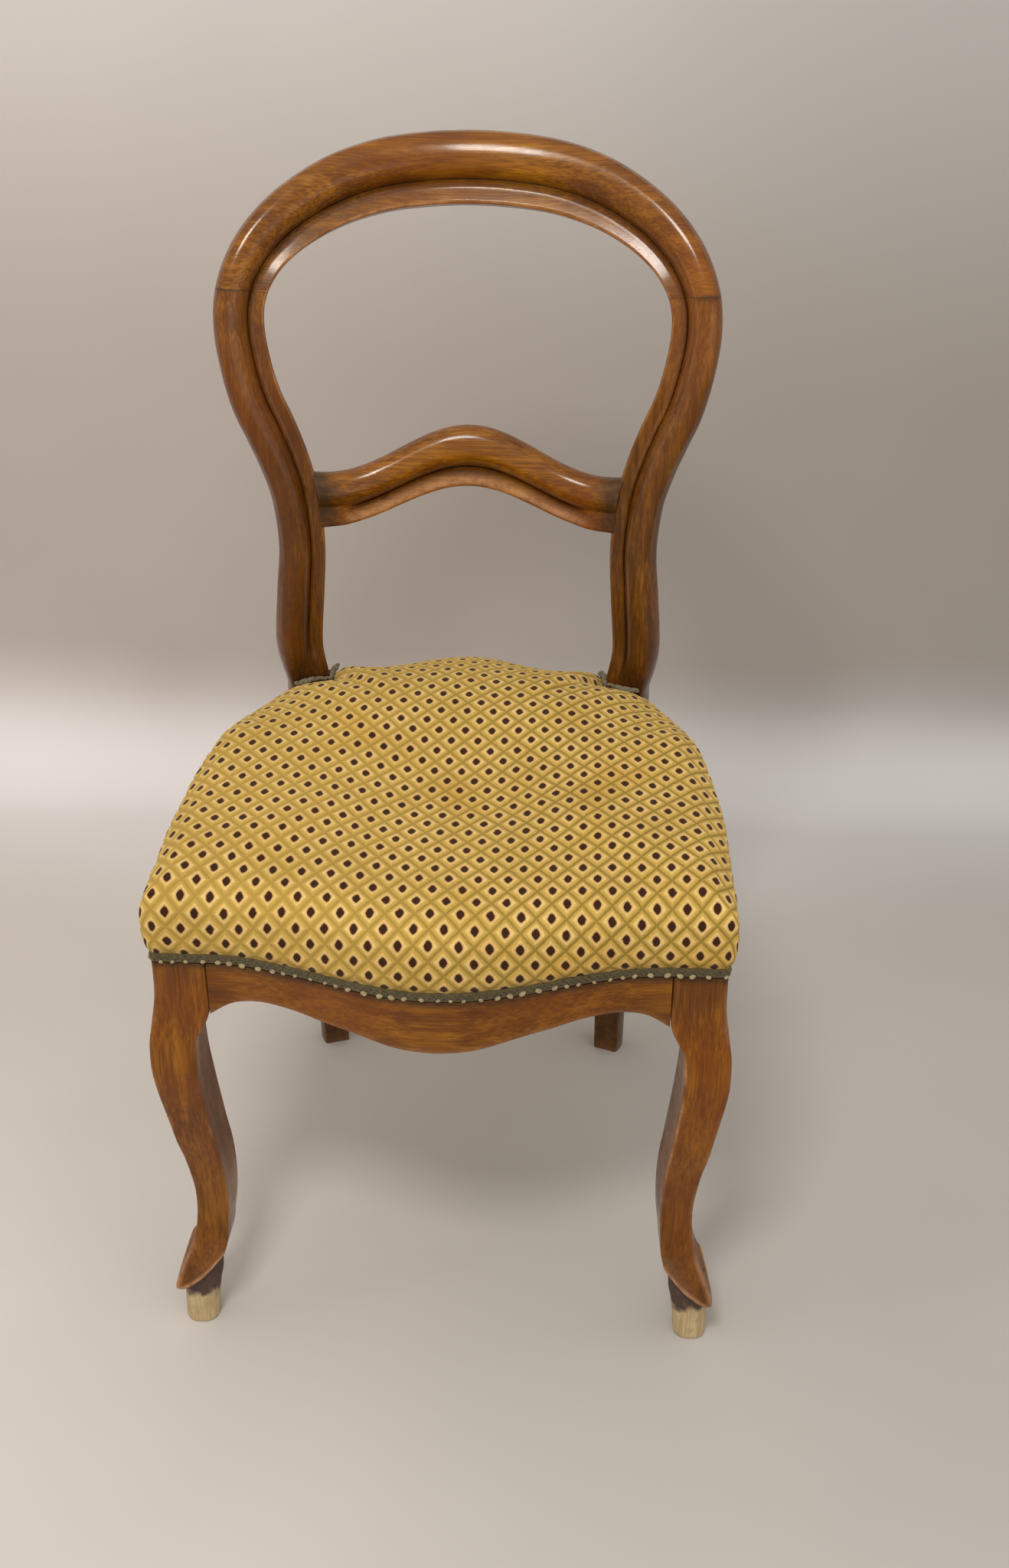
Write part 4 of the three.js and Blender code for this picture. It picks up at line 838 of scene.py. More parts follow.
@dataclass(frozen=True)
class Moulding:
    """Section of the posts, crest and middle rail: roll, quirk, hollow and thin inner arris.

    Rows give the share across the face, the share of the depth and the share of the relief.
    """

    relief: float = 0.0066
    front_rows: Rows = (
        (0.0, 0.36, 0.0), (0.014, 0.16, -0.25), (0.06, 0.03, 0.2), (0.15, 0.0, 0.62), (0.26, 0.0, 0.9),
        (0.37, 0.0, 1.0), (0.46, 0.0, 0.92), (0.54, 0.0, 0.6), (0.61, 0.0, 0.06), (0.655, 0.0, -0.52),
    )
    hollow_rows: Rows = (
        (0.655, 0.0, -0.52), (0.67, 0.0, -0.76), (0.686, 0.0, -0.58), (0.712, 0.0, -0.80), (0.742, 0.0, -0.90),
        (0.772, 0.0, -0.905), (0.805, 0.0, -0.835), (0.85, 0.0, -0.715), (0.905, 0.0, -0.57), (0.957, 0.0, -0.435),
    )
    rear_rows: Rows = (
        (0.957, 0.0, -0.435), (0.985, 0.015, -0.43), (1.0, 0.08, -0.35), (1.0, 0.4, 0.0), (1.0, 0.74, 0.0),
        (0.95, 0.94, 0.0), (0.82, 0.99, 0.0), (0.6, 1.0, 0.0), (0.35, 0.99, 0.0), (0.14, 0.91, 0.0),
        (0.03, 0.7, 0.0), (0.0, 0.5, 0.0), (0.0, 0.36, 0.0),
    )
    per_row: int = 5

    def section(self) -> Array:
        """Points round the section, one row each."""
        parts = []
        for rows in (self.front_rows, self.hollow_rows, self.rear_rows):
            table = np.array(rows)
            steps = self.per_row * (len(table) - 1)
            parts.append(through(table, np.linspace(0, len(table) - 1, steps + 1))[:-1])
        return np.vstack(parts)

    def dirt(self) -> Array:
        """Dirt and painted shade deep in the quirk, painted shade near it and in the hollow."""
        across, depth, _ = self.section().T
        front = depth < 0.05
        # dirt and painted shade in the quirk; painted shade on the approach to it and in the hollow
        quirk = bump_at(across, 0.67, 0.022)
        approach = 0.4 * bump_at(across, 0.66, 0.1)
        hollow = 0.45 * bump_at(across, 0.74, 0.07)
        return np.where(front, strongest(quirk, approach, hollow), 0.0)

    def rub(self) -> Array:
        """How worn each point of the section is: along the inner arris."""
        across, depth, _ = self.section().T
        return np.where(depth < 0.2, 0.55 * bump_at(across, 0.972, 0.02), 0.0)


@dataclass
class MouldedBack:
    """Posts with their rear legs, the crest and the middle rail."""

    surface: BackSurface
    moulding: Moulding = field(default_factory=Moulding)
    balloon_half: float = 0.2108
    post_face: float = 0.0375
    crest_face: float = 0.058
    post_depth: float = 0.028
    crest_depth: float = 0.030
    joint_share: float = 0.578
    joint_gap: float = 0.00035
    fade: float = 0.038
    foot_span: float = 0.1525
    foot_width: float = 0.024
    foot_depth: float = 0.027
    rail_zone_depth: float = 0.034
    edge_rows: Rows = (
        (0.759, 0.0, -0.15), (0.796, 0.084, -0.02), (0.787, 0.192, 0.03), (0.775, 0.283, 0.0),
        (0.796, 0.369, 0.03), (0.834, 0.428, 0.09), (0.885, 0.487, 0.13), (0.937, 0.544, 0.12),
        (0.974, 0.608, 0.09), (0.998, 0.676, 0.08), (0.999, 0.735, 0.14), (0.972, 0.79, 0.28),
        (0.911, 0.845, 0.48), (0.815, 0.894, 0.66), (0.695, 0.933, 0.8), (0.55, 0.965, 0.92),
        (0.375, 0.987, 0.98), (0.187, 0.997, 1.0), (0.0, 1.0, 1.0),
    )
    rear_leg: ShapeCurve = ShapeCurve((
        (0.0, 0.0, 0.0, 0.0), (0.15, 0.06, 0.14, 0.12), (0.35, 0.28, 0.4, 0.4), (0.6, 0.62, 0.76, 0.78),
        (0.8, 0.86, 0.96, 1.0), (0.93, 0.97, 1.0, 0.95), (1.0, 1.0, 1.0, 0.6),
    ))

    @property
    def crown_place(self) -> float:
        """Place of the middle of the crown along the edge rows."""
        return len(self.edge_rows) - 1.0

    def edge(self, place: Array) -> Array:
        """Outer edge and face share: x, z and share at each place."""
        rows = np.array(self.edge_rows)
        beyond = rows[-2::-1] * np.array([-1.0, 1.0, 1.0])
        ahead = 2 * rows[0] - rows[1]
        table = np.vstack([ahead, rows, beyond])
        value = through(table, np.asarray(place, float) + 1)
        s = self.surface
        return np.stack([value[:, 0] * self.balloon_half, s.seat_line + value[:, 1] * s.rise, value[:, 2]], -1)

    def station(self, place: Array) -> tuple[Array, Array, Array]:
        """Outer edge, inner edge and depth of the back at each place.

        Args:
            place: Places along the edge rows, up to twice the crown's.

        Returns:
            Outer x and z, inner x and z, and depth.
        """
        step = 0.02
        here, behind, ahead = self.edge(place), self.edge(np.maximum(place - step, 0)), self.edge(place + step)
        along = unit(ahead[:, :2] - behind[:, :2])
        width = lerp(self.post_face, self.crest_face, here[:, 2])[:, None]
        inner = here[:, :2] + np.stack([-along[:, 1], along[:, 0]], -1) * width
        near = np.minimum(place, 2 * self.crown_place - place)
        depth = lerp(self.post_depth, self.crest_depth, smoothstep(near, self.crown_place / 2, self.crown_place))
        return here[:, :2], inner, depth

    def ring_grid(self, outer: Array, inner: Array, depth: Array, roll: Array) -> Array:
        """Rings of the moulded section between two edges.

        Args:
            outer: Outer edge, x and z.
            inner: Inner edge, x and z.
            depth: Depth of the member.
            roll: Strength of the moulding, 0 to 1.

        Returns:
            A grid of rings.
        """
        across, back, rise = self.moulding.section().T
        spot = outer[:, None] + (inner - outer)[:, None] * across[None, :, None]
        relief = rise * roll[:, None] * self.moulding.relief
        return self.surface.point(spot[..., 0], spot[..., 1], back * depth[:, None] - relief)

    def leg_station(self, share: Array) -> tuple[Array, Array, Array]:
        """Outer edge, inner edge and depth of a rear leg at shares of the seat line's height."""
        outer, inner, _ = self.station(np.zeros(1))
        outer_x = lerp(self.foot_span, outer[0, 0], self.rear_leg.at(share, 1))
        width = lerp(self.foot_width, outer[0, 0] - inner[0, 0], self.rear_leg.at(share, 2))
        z = share * self.surface.seat_line
        depth = lerp(self.foot_depth, self.rail_zone_depth, self.rear_leg.at(share, 3))
        return np.stack([outer_x, z], -1), np.stack([outer_x - width, z], -1), depth

    def post(self, side: Side) -> Skin:
        """Rear leg and side of the hoop in one piece."""
        leg_outer, leg_inner, leg_depth = self.leg_station(np.linspace(0, 1, 60)[:-1])
        end = self.crown_place * self.joint_share - self.joint_gap / self.surface.rise
        place = np.linspace(0, end, 170)
        outer, inner, depth = self.station(place)
        depth[0] = self.leg_station(np.ones(1))[2][0]
        outer, inner = np.vstack([leg_outer, outer]), np.vstack([leg_inner, inner])
        depth = np.concatenate([leg_depth, depth])
        seat = self.surface.seat_line
        roll = smoothstep(outer[:, 1], seat, seat + self.fade)
        grid = self.ring_grid(outer, inner, depth, roll)
        height = grid[..., 2]
        clouds = cloudiness(grid, 0.035, 3.0 * side.value)
        # darker just above the seat
        darker_above_seat = bump_at(height, seat + 0.012, 0.024) * (0.62 + 0.3 * clouds)
        # dirt and painted shade of the moulding
        dirt = self.moulding.dirt()[None, :] * roll[:, None] * (0.85 + 0.3 * clouds)
        top = outer[-1, 1]
        joint_dirt = bump_at(height, top, 0.0026 if side is Side.RIGHT else 0.0014) * 0.9
        shade = strongest(smoothstep(height, 0.82, 0.60) * 0.48, smoothstep(height, 0.36, 0.24) * 0.72)
        foot_rub = smoothstep(height, 0.012, 0.0) * 0.6
        return Skin(
            f"{side.word}_post_and_rear_leg", flipped(grid, side), grime=strongest(dirt, darker_above_seat, joint_dirt, shade),
            wear=self.moulding.rub()[None, :] * roll[:, None] * (0.4 + 0.9 * clouds) + foot_rub,
            grain=Grain.UPRIGHT, board=0.9 + 0.4 * side.value)

    def crest(self) -> Skin:
        """Top of the hoop from joint to joint."""
        start = self.crown_place * self.joint_share + self.joint_gap / self.surface.rise
        place = np.linspace(start, 2 * self.crown_place - start, 330)
        outer, inner, depth = self.station(place)
        grid = self.ring_grid(outer, inner, depth, np.ones(len(place)))
        clouds = cloudiness(grid, 0.04, 8.0)
        # dirt and painted shade of the moulding
        dirt = self.moulding.dirt()[None, :] * (0.8 + 0.35 * clouds)
        ends = np.minimum(place - place[0], place[-1] - place)[:, None]
        joint_dirt = bump_at(ends, 0.0, 0.03) * 0.9
        corner = 0.5 * bump_at(ends, 0.75, 0.5) * bump_at(self.moulding.section()[None, :, 0], 0.84, 0.16)
        return Skin("crest_of_the_hoop", grid, grime=strongest(dirt, joint_dirt, corner * (0.6 + clouds)),
                    wear=self.moulding.rub()[None, :] * (0.5 + clouds), grain=Grain.CROSSWISE, board=2.3)

    def build(self, wood: Material) -> None:
        """Make and dress the posts, the crest and the middle rail."""
        for side in Side:
            seated(self.post(side), wood, Slot.WALNUT, f"{side.word}_back_post")
        seated(self.crest(), wood, Slot.WALNUT, "crest_rail")
        seated(MiddleRail(self).rail(), wood, Slot.WALNUT, "mid_rail")


@dataclass
class MiddleRail:
    """Humped rail across the back, moulded like the hoop, its groove dying out at both ends."""

    back: MouldedBack
    top: float = 0.668
    hump: float = 0.0375
    reach: float = 0.117
    centre_height: float = 0.053
    end_height: float = 0.047
    depth: float = 0.022
    setback: float = 0.0015
    flare: float = 0.004
    stop: float = 0.026
    end_share: float = 1.14
    sink: float = 0.002

    def rise(self, x: Array) -> Array:
        """Share of the hump at x."""
        return np.where(np.abs(x) < self.reach, 0.5 + 0.5 * np.cos(math.pi * x / self.reach), 0.0)

    def upper(self, x: Array) -> Array:
        """Height of the top edge."""
        beyond = np.clip(np.abs(x) - self.reach, 0, None) / self.stop
        return self.top - self.hump + self.hump * self.rise(x) + self.flare * beyond ** 2

    def lower(self, x: Array) -> Array:
        """Height of the bottom edge."""
        beyond = np.clip(np.abs(x) - self.reach, 0, None) / self.stop
        return self.upper(x) - lerp(self.end_height, self.centre_height, self.rise(x)) - self.flare * beyond ** 2

    def post_inner(self, z: Array) -> Array:
        """Inner edge of the right post at each height."""
        _, inner, _ = self.back.station(np.linspace(0, self.back.crown_place / 2, 400))
        return np.interp(z, inner[:, 1], inner[:, 0])

    def rail(self) -> Skin:
        """The rail, its ends let a little into the posts."""
        across, back, rise = self.back.moulding.section().T
        side = np.linspace(-1, 1, 260)[:, None]
        z = np.full((len(side), len(across)), self.top - self.hump - self.end_height / 2)
        for _ in range(4):
            x = side * (self.post_inner(z) + self.sink)
            z = lerp(self.upper(x), self.lower(x), across[None, :])
        run = self.reach * np.abs(side) * self.end_share
        roll = lerp(0.35, 1.0, 1 - smoothstep(run, self.reach, self.reach + self.stop))
        groove = 1 - smoothstep(run, self.reach - self.stop, self.reach)
        relief = np.where(rise[None, :] > 0, rise * roll, rise * groove) * self.back.moulding.relief
        grid = self.back.surface.point(x, z, self.setback + back[None, :] * self.depth - relief)
        clouds = cloudiness(grid, 0.03, 12.0)
        # painted shade at both ends, where the rail meets the posts
        ends = smoothstep(np.abs(side), 0.80, 0.96) * (0.75 + 0.35 * clouds)
        # dirt and painted shade of the moulding
        dirt = self.back.moulding.dirt()[None, :] * groove
        nick = 0.6 * bump_at(x, 0.0, 0.005) * bump_at(across[None, :], 0.62, 0.05) * (back[None, :] < 0.1)
        return Skin("middle_rail_of_the_back", grid, grime=strongest(dirt, ends, nick),
                    # painted highlight: a pale band along the lower bead, dying out with the groove
                    wear=0.4 * bump_at(across[None, :], 0.9, 0.07) * (back[None, :] < 0.1) * groove,
                    grain=Grain.CROSSWISE, board=4.1)


# The seat frame and front legs

@dataclass(frozen=True)
class SeatPlan:
    """Plan of the seat: where its rails and the corners of its posts stand."""

    shift: float
    half: float = 0.220
    front: float = 0.191
    bow: float = 0.041
    block: float = 0.042
    rail_thickness: float = 0.026
    rail_top: float = 0.404
    underside: float = 0.352
    edge_round: float = 0.002
    rebate: float = 0.0032
    rebate_line: float = 0.381
    gap: float = 0.00035
    back_y: float = 0.188
    back_bow: float = 0.005
    back_thickness: float = 0.021
    side_curve: ShapeCurve = ShapeCurve((
        (0.0, 0.0), (0.184, 0.0), (0.372, 0.05), (0.544, 0.175), (0.709, 0.37), (0.856, 0.64), (1.0, 1.0),
    ))

    @property
    def leg_inner(self) -> float:
        """Where a front leg's block ends towards the middle."""
        return self.half - self.block

    @property
    def leg_back(self) -> float:
        """Where a front leg's block ends towards the rear."""
        return -self.front + self.block + self.shift

    def bow_y(self, x: Array) -> Array:
        """Front face of the front rail."""
        share = np.minimum(np.abs(x) / self.leg_inner, 1.0)
        return self.shift - self.front - self.bow * (0.5 + 0.5 * np.cos(math.pi * share))

    def side_at(self, share: Array, corner: Array) -> Array:
        """Outer face of the right side rail, from the front leg to the corner of the post."""
        x = lerp(self.half - self.edge_round / 2, corner[0], self.side_curve.at(share))
        return np.stack([x, lerp(self.leg_back, corner[1], np.asarray(share, float))], -1)

    def under_braid(self, z: Array) -> Array:
        """Nearness to the braid's lower edge, where dirt gathers and the braid's painted shadow falls."""
        return bump_at(z, self.rebate_line - 0.001, 0.004)

    def back_face(self, x: Array, half: float) -> Array:
        """Front face of the back rail."""
        return self.shift + self.back_y + self.back_bow * np.cos(math.pi * x / (2 * half))


def directions(path: Array) -> Array:
    """Unit vectors along a path."""
    return unit(np.gradient(path, axis=0))


def outwards(path: Array) -> Array:
    """Unit vectors to the right of a level path."""
    along = directions(path)
    return np.stack([along[:, 1], -along[:, 0]], -1)


def spread(path: Array, count: int, *followers: Array) -> tuple[Array, ...]:
    """A path taken at even steps, with the values that go with it.

    Args:
        path: Points of the path.
        count: How many points are wanted.
        followers: Arrays with one row for each point of the path.

    Returns:
        The new path and the new followers.
    """
    run = run_along(path)
    at = np.linspace(0, run[-1], count)
    made = []
    for rows in (path, *followers):
        table = rows if rows.ndim > 1 else rows[:, None]
        new = np.stack([np.interp(at, run, table[:, k]) for k in range(table.shape[1])], -1)
        made.append(new if rows.ndim > 1 else new[:, 0])
    return tuple(made)


@dataclass
class SeatFrame:
    """Serpentine front rail, bowed side rails and back rail, rebated for the cloth."""

    plan: SeatPlan
    back: MouldedBack
    apron_thickness: float = 0.013
    apron_shallow: float = 0.350
    apron_drop: float = 0.017
    apron_curve: ShapeCurve = ShapeCurve((
        (0.0, 1.0), (0.17, 0.88), (0.35, 0.5), (0.49, 0.3), (0.62, 0.08), (0.76, 0.0), (0.845, 0.12),
        (0.9, 0.3), (0.95, 0.62), (1.0, 1.0),
    ))

    @property
    def corner(self) -> Array:
        """Outer front corner of the right post at rail height, x and y."""
        z = (self.plan.rail_top + self.plan.underside) / 2
        outer, _, _ = self.back.leg_station(np.array([z / self.back.surface.seat_line]))
        x = outer[0, 0]
        return np.array([x, float(self.back.surface.face_y(np.array(x), np.array(z)))])

    @property
    def inner_x(self) -> float:
        """Inner edge of the right post at rail height."""
        z = (self.plan.rail_top + self.plan.underside) / 2
        _, inner, _ = self.back.leg_station(np.array([z / self.back.surface.seat_line]))
        return float(inner[0, 0])

    def front_rail(self) -> Skin:
        """Front rail with its shaped lower edge."""
        p = self.plan
        x = np.linspace(-1, 1, 241) * (p.leg_inner - p.gap)
        face = p.bow_y(x)
        low = self.apron_shallow - self.apron_drop * self.apron_curve.at(np.abs(x) / p.leg_inner)
        soft = p.edge_round
        columns = [(face + p.rebate, p.rail_top), (face + p.rebate, p.rebate_line + REBATE_STEP)]
        columns += [(face + 0.0002, p.rebate_line), (face, p.rebate_line - REBATE_STEP)]
        columns += [(face, lerp(low + soft, p.rebate_line - 0.002, share)) for share in np.linspace(0, 1, 9)[::-1]]
        for degrees in (25, 50, 75, 90):
            turn = math.radians(degrees)
            columns.append((face + soft * (1 - math.cos(turn)), low + soft * (1 - math.sin(turn))))
        columns += [(face + self.apron_thickness, low), (face + self.apron_thickness, p.underside)]
        columns += [(face + p.rail_thickness, p.underside), (face + p.rail_thickness, p.rail_top)]
        grid = np.stack([np.stack([x, y, np.broadcast_to(z, x.shape)], -1) for y, z in columns], 1)
        height = grid[..., 2]
        clouds = cloudiness(grid, 0.03, 21.0)
        # dirt and painted shadow under the braid
        under_braid = 0.75 * p.under_braid(height)
        ends = 0.2 * smoothstep(np.abs(grid[..., 0]), p.leg_inner - 0.003, p.leg_inner)
        edge = 0.25 * bump_at(height - low[:, None], 0.0, 0.003) * (0.8 + clouds)
        return Skin("serpentine_front_rail", grid, grime=strongest(under_braid, ends, 0.12),
                    wear=np.clip(edge, 0, 1), grain=Grain.CROSSWISE, board=5.3, sharp_degrees=FRAME_SHARP)

    def side_rail(self, side: Side) -> Skin:
        """One bowed side rail, from the front leg to the face of the post."""
        p = self.plan
        share = np.linspace(0, 1, 90)
        path = p.side_at(share, self.corner)
        out = outwards(path)
        along = directions(path)
        soft = p.edge_round
        section = [(p.rebate, p.rail_top), (p.rebate, p.rebate_line + REBATE_STEP), (0.0, p.rebate_line)]
        section += [(0.0, z) for z in np.linspace(p.rebate_line - 0.004, p.underside + soft, 6)]
        section += [(soft * 0.3, p.underside + soft * 0.3), (soft, p.underside), (p.rail_thickness, p.underside)]
        section += [(p.rail_thickness, p.rail_top)]
        grid = np.empty((len(share), len(section), 3))
        for k, (inset, z) in enumerate(section):
            spots = path - out * inset
            spots[0, 1] = p.leg_back + p.gap
            target = self.back.surface.face_y(np.array([spots[-1, 0]]), np.array([z]))[0] - p.gap
            spots[-1] = spots[-1] + along[-1] * (target - spots[-1, 1]) / along[-1, 1]
            grid[:, k] = at_height(spots, z)
        height = grid[..., 2]
        # dirt and painted shadow under the braid
        dirt = 0.7 * p.under_braid(height)
        ends = 0.55 * np.maximum(bump_at(share, 0, 0.012), bump_at(share, 1, 0.03))[:, None]
        return Skin(f"{side.word}_bowed_side_rail", flipped(grid, side), grime=np.maximum(dirt, ends),
                    wear=0.3 * bump_at(height, p.underside + soft, 0.0015), grain=Grain.LENGTHWISE,
                    board=6.0 + side.value, sharp_degrees=FRAME_SHARP)

    def back_rail(self) -> Skin:
        """Rear seat rail between the posts."""
        p = self.plan
        side = np.linspace(-1, 1, 61)
        outer = p.back_thickness
        section = [(0.0, p.rail_top), (0.0, p.underside), (outer - p.edge_round, p.underside)]
        section += [(outer - REBATE_STEP, p.underside + REBATE_STEP), (outer, p.underside + p.edge_round)]
        section += [(outer, p.rebate_line - 0.004), (outer, p.rebate_line)]
        section += [(outer - p.rebate, p.rebate_line + REBATE_STEP), (outer - p.rebate, p.rail_top)]
        grid = np.empty((len(side), len(section), 3))
        surface = self.back.surface
        for k, (inset, z) in enumerate(section):
            _, inner, _ = self.back.leg_station(np.array([z / surface.seat_line]))
            inner_x = inner[0, 0]
            y = p.back_face(side * inner_x, inner_x) + inset
            slant = np.clip(y - surface.face_y(np.array(inner_x), np.array(z)), 0, None) * inner_x / surface.radius
            grid[:, k] = np.column_stack([side * (inner_x + slant - p.gap), y, np.full(len(side), z)])
        height = grid[..., 2]
        # dirt and painted shadow under the back braid
        return Skin("rear_seat_rail", grid, grime=0.2 + 0.5 * bump_at(height, p.rebate_line, 0.004),
                    grain=Grain.CROSSWISE, board=7.7, sharp_degrees=FRAME_SHARP)

    def build(self, wood: Material) -> None:
        """Make and dress the rails."""
        seated(self.front_rail(), wood, Slot.WALNUT, "front_rail")
        for side in Side:
            seated(self.side_rail(side), wood, Slot.WALNUT, f"{side.word}_side_rail")
        seated(self.back_rail(), wood, Slot.WALNUT, "back_rail")


@dataclass
class CabrioleLeg:
    """Front leg: square block, knee, shin, a shoe with a thin rim, and a worn peg foot."""

    plan: SeatPlan
    side: Side
    knee: float = 0.007
    toe_height: float = 0.046
    toe_lift: float = 0.034
    toe_fade: float = 0.058
    toe_curve: float = 1.7
    shin_flare: float = 0.005
    scoop: float = 0.0017
    rim: float = 0.0011
    peg_radius: float = 0.014
    peg_inset: float = 0.0095
    peg_depth_inset: float = 0.017
    peg_top: float = 0.088
    corner_share: float = 0.075
    toe_rows: int = 25
    shin_rows: int = 150
    profile: ShapeCurve = ShapeCurve((
        (0.0, 0.3, 0.98), (0.11, 0.57, 0.96), (0.124, 1.0, 0.93), (0.139, 0.86, 0.9), (0.168, 0.2, 0.81),
        (0.198, -0.57, 0.74), (0.223, -1.21, 0.695), (0.257, -1.64, 0.64), (0.297, -1.86, 0.63),
        (0.347, -1.86, 0.63), (0.396, -1.57, 0.66), (0.446, -1.14, 0.7), (0.495, -0.57, 0.74),
        (0.545, -0.14, 0.765), (0.594, 0.29, 0.79), (0.644, 0.71, 0.82), (0.693, 1.0, 0.855),
        (0.743, 1.0, 0.87), (0.77, 0.88, 0.88), (0.787, 0.71, 0.93), (0.819, 0.43, 1.035),
        (0.851, 0.14, 1.024), (0.891, 0.0, 1.0), (1.0, 0.0, 1.0),
    ))
    peg_rows: Rows = (
        (0.0, 0.9, 0.0), (0.012, 0.96, 0.0), (0.04, 1.0, 0.0), (0.2, 1.03, 0.05), (0.35, 1.08, 0.1), (0.48, 1.15, 0.16),
        (0.58, 1.22, 0.22), (0.7, 1.14, 0.33), (0.8, 1.0, 0.45), (1.0, 0.66, 0.9),
    )

    def section(self) -> Array:
        """Rounded square from the outer front corner: share across the front and along the side."""
        points = []
        soft = self.corner_share
        centres = ((soft, soft, 180), (1 - soft, soft, 270), (1 - soft, 1 - soft, 0), (soft, 1 - soft, 90))
        for cx, cy, start in centres:
            for degrees in np.linspace(0, 90, 7):
                turn = math.radians(start + degrees)
                points.append((cx + soft * math.cos(turn), cy + soft * math.sin(turn)))
            ahead = centres[(centres.index((cx, cy, start)) + 1) % 4]
            turn = math.radians(ahead[2])
            goal = (ahead[0] + soft * math.cos(turn), ahead[1] + soft * math.sin(turn))
            here = points[-1]
            points += [(lerp(here[0], goal[0], s), lerp(here[1], goal[1], s)) for s in np.linspace(0, 1, 12)[1:-1]]
        return np.array(points, float)

    def sway(self, z: Array) -> Array:
        """How far the leg swings out at each height."""
        return self.knee * self.profile.at(z / self.plan.rail_top, 1)

    def thick(self, z: Array) -> Array:
        """Thickness of the leg at each height."""
        return self.plan.block * self.profile.at(z / self.plan.rail_top, 2)

    def shaft(self) -> Skin:
        """Block, knee, shin and shoe."""
        p = self.plan
        across, along = self.section().T
        toe = np.linspace(0, 1, self.toe_rows + 1)[:-1]
        level = np.concatenate([
            self.toe_height + toe * self.toe_fade,
            np.linspace(self.toe_height + self.toe_fade, p.rebate_line, self.shin_rows),
            [p.rebate_line + REBATE_STEP, p.rail_top],
        ])
        lift = np.concatenate([self.toe_lift * (1 - toe), np.zeros(self.shin_rows + 2)])
        inset = np.concatenate([np.zeros(self.toe_rows + self.shin_rows), [p.rebate, p.rebate]])
        z = level[:, None] + lift[:, None] * np.maximum(across, along)[None, :] ** self.toe_curve
        sway, thick = self.sway(z), self.thick(z)
        share = z / p.rail_top
        flare = self.shin_flare * smoothstep(share, 0.12, 0.42) * (1 - smoothstep(share, 0.62, 0.84)) * across * along
        low = z - (self.toe_height + self.toe_lift * np.maximum(across, along)[None, :] ** self.toe_curve)
        hollow = self.scoop * bump_at(low, 0.014, 0.022)
        front_hollow = hollow * np.sin(math.pi * np.clip(across, 0, 1))[None, :] * (along < 0.5)
        side_hollow = hollow * np.sin(math.pi * np.clip(along, 0, 1))[None, :] * (across < 0.5)
        rim = self.rim * bump_at(low, 0.0012, 0.0016)
        x = p.half + sway - np.maximum(across * thick, inset[:, None]) - flare - side_hollow + rim * (across < 0.5)
        y = (p.shift - p.front - sway + np.maximum(along * thick, inset[:, None]) + flare + front_hollow
             - rim * (along < 0.5))
        grid = np.stack([x, y, z], -1)
        clouds = cloudiness(grid, 0.022, 31.0 + 5 * self.side.value)
        rim_rub = 0.95 * bump_at(low, 0.001, 0.0022)
        inner_edge = bump_at(across, 0.985, 0.03) * (along < 0.06)
        outer_edge = bump_at(across + along, 0.03, 0.06)
        strength = 0.75 if self.side is Side.RIGHT else 0.3
        edge_rub = strength * inner_edge[None, :] * smoothstep(z, 0.36, 0.33) * (0.45 + 0.9 * clouds)
        toe_rub = 0.75 * outer_edge[None, :] * smoothstep(z, 0.105, 0.06)
        block_rub = 0.35 * outer_edge[None, :] * (0.3 + clouds)
        # dirt and painted shadow under the braid
        braid_dirt_and_shade = 0.75 * p.under_braid(z)
        # darker up the block towards the rail
        darker_up_block = 0.3 * smoothstep(z, 0.30, 0.36) * (0.6 + 0.8 * clouds)
        # dirt near the toe, and painted shade darker down the leg
        low_dirt_and_shade = 0.3 * smoothstep(low, 0.05, 0.008) * (0.5 + clouds) + 0.24 * smoothstep(z, 0.30, 0.10)
        # painted shade on the faces turned to the back and the inside
        back_shade = 0.3 * np.maximum(across, along)[None, :] ** 8 * (across * along > 0.3)[None, :]
        return Skin(f"{self.side.word}_cabriole_leg", flipped(grid, self.side),
                    grime=strongest(braid_dirt_and_shade, darker_up_block, low_dirt_and_shade, back_shade),
                    wear=strongest(rim_rub, edge_rub, toe_rub, block_rub),
                    grain=Grain.UPRIGHT, board=8.0 + 1.3 * self.side.value)

    def peg(self) -> Skin:
        """Worn peg on which the leg stands."""
        p = self.plan
        rows = np.array(self.peg_rows)
        rows = through(rows, np.linspace(0, len(rows) - 1, 60))
        height, radius, towards = rows.T
        top = np.array([self.peg_top])
        ankle = self.thick(top)[0] / 2
        floor_spot = np.array([p.half - self.peg_inset, p.shift - p.front + self.peg_depth_inset])
        goal = np.array([p.half + self.sway(top)[0] - ankle, p.shift - p.front - self.sway(top)[0] + ankle])
        middle = floor_spot + (goal - floor_spot) * towards[:, None]
        turn = circle(72)
        bend = np.stack([np.sign(f) * np.abs(f) ** 0.8 for f in (np.cos(turn), np.sin(turn))], -1)
        flat = middle[:, None] + self.peg_radius * radius[:, None, None] * bend[None]
        z = np.broadcast_to((height * self.peg_top)[:, None], flat.shape[:2])
        grid = np.concatenate([flat, z[..., None]], -1)
        chips = cloudiness(grid * np.array([1, 1, 0.35]), 0.004, 41.0)
        grid[..., :2] += (middle[:, None] - grid[..., :2]) * (0.035 * np.clip(chips, 0, 1))[..., None]
        stain = smoothstep(z, 0.020, 0.046) + 0.25 * chips
        return Skin(f"{self.side.word}_peg_foot", flipped(grid, self.side), grime=stain, board=9.5 * self.side.value)

    def build(self, wood: Material, bare: Material) -> None:
        """Make and dress the leg and its foot."""
        node = f"{self.side.word}_front_leg"
        seated(self.shaft(), wood, Slot.WALNUT, node)
        seated(self.peg(), bare, Slot.WALNUT, node)


# The stuffed seat

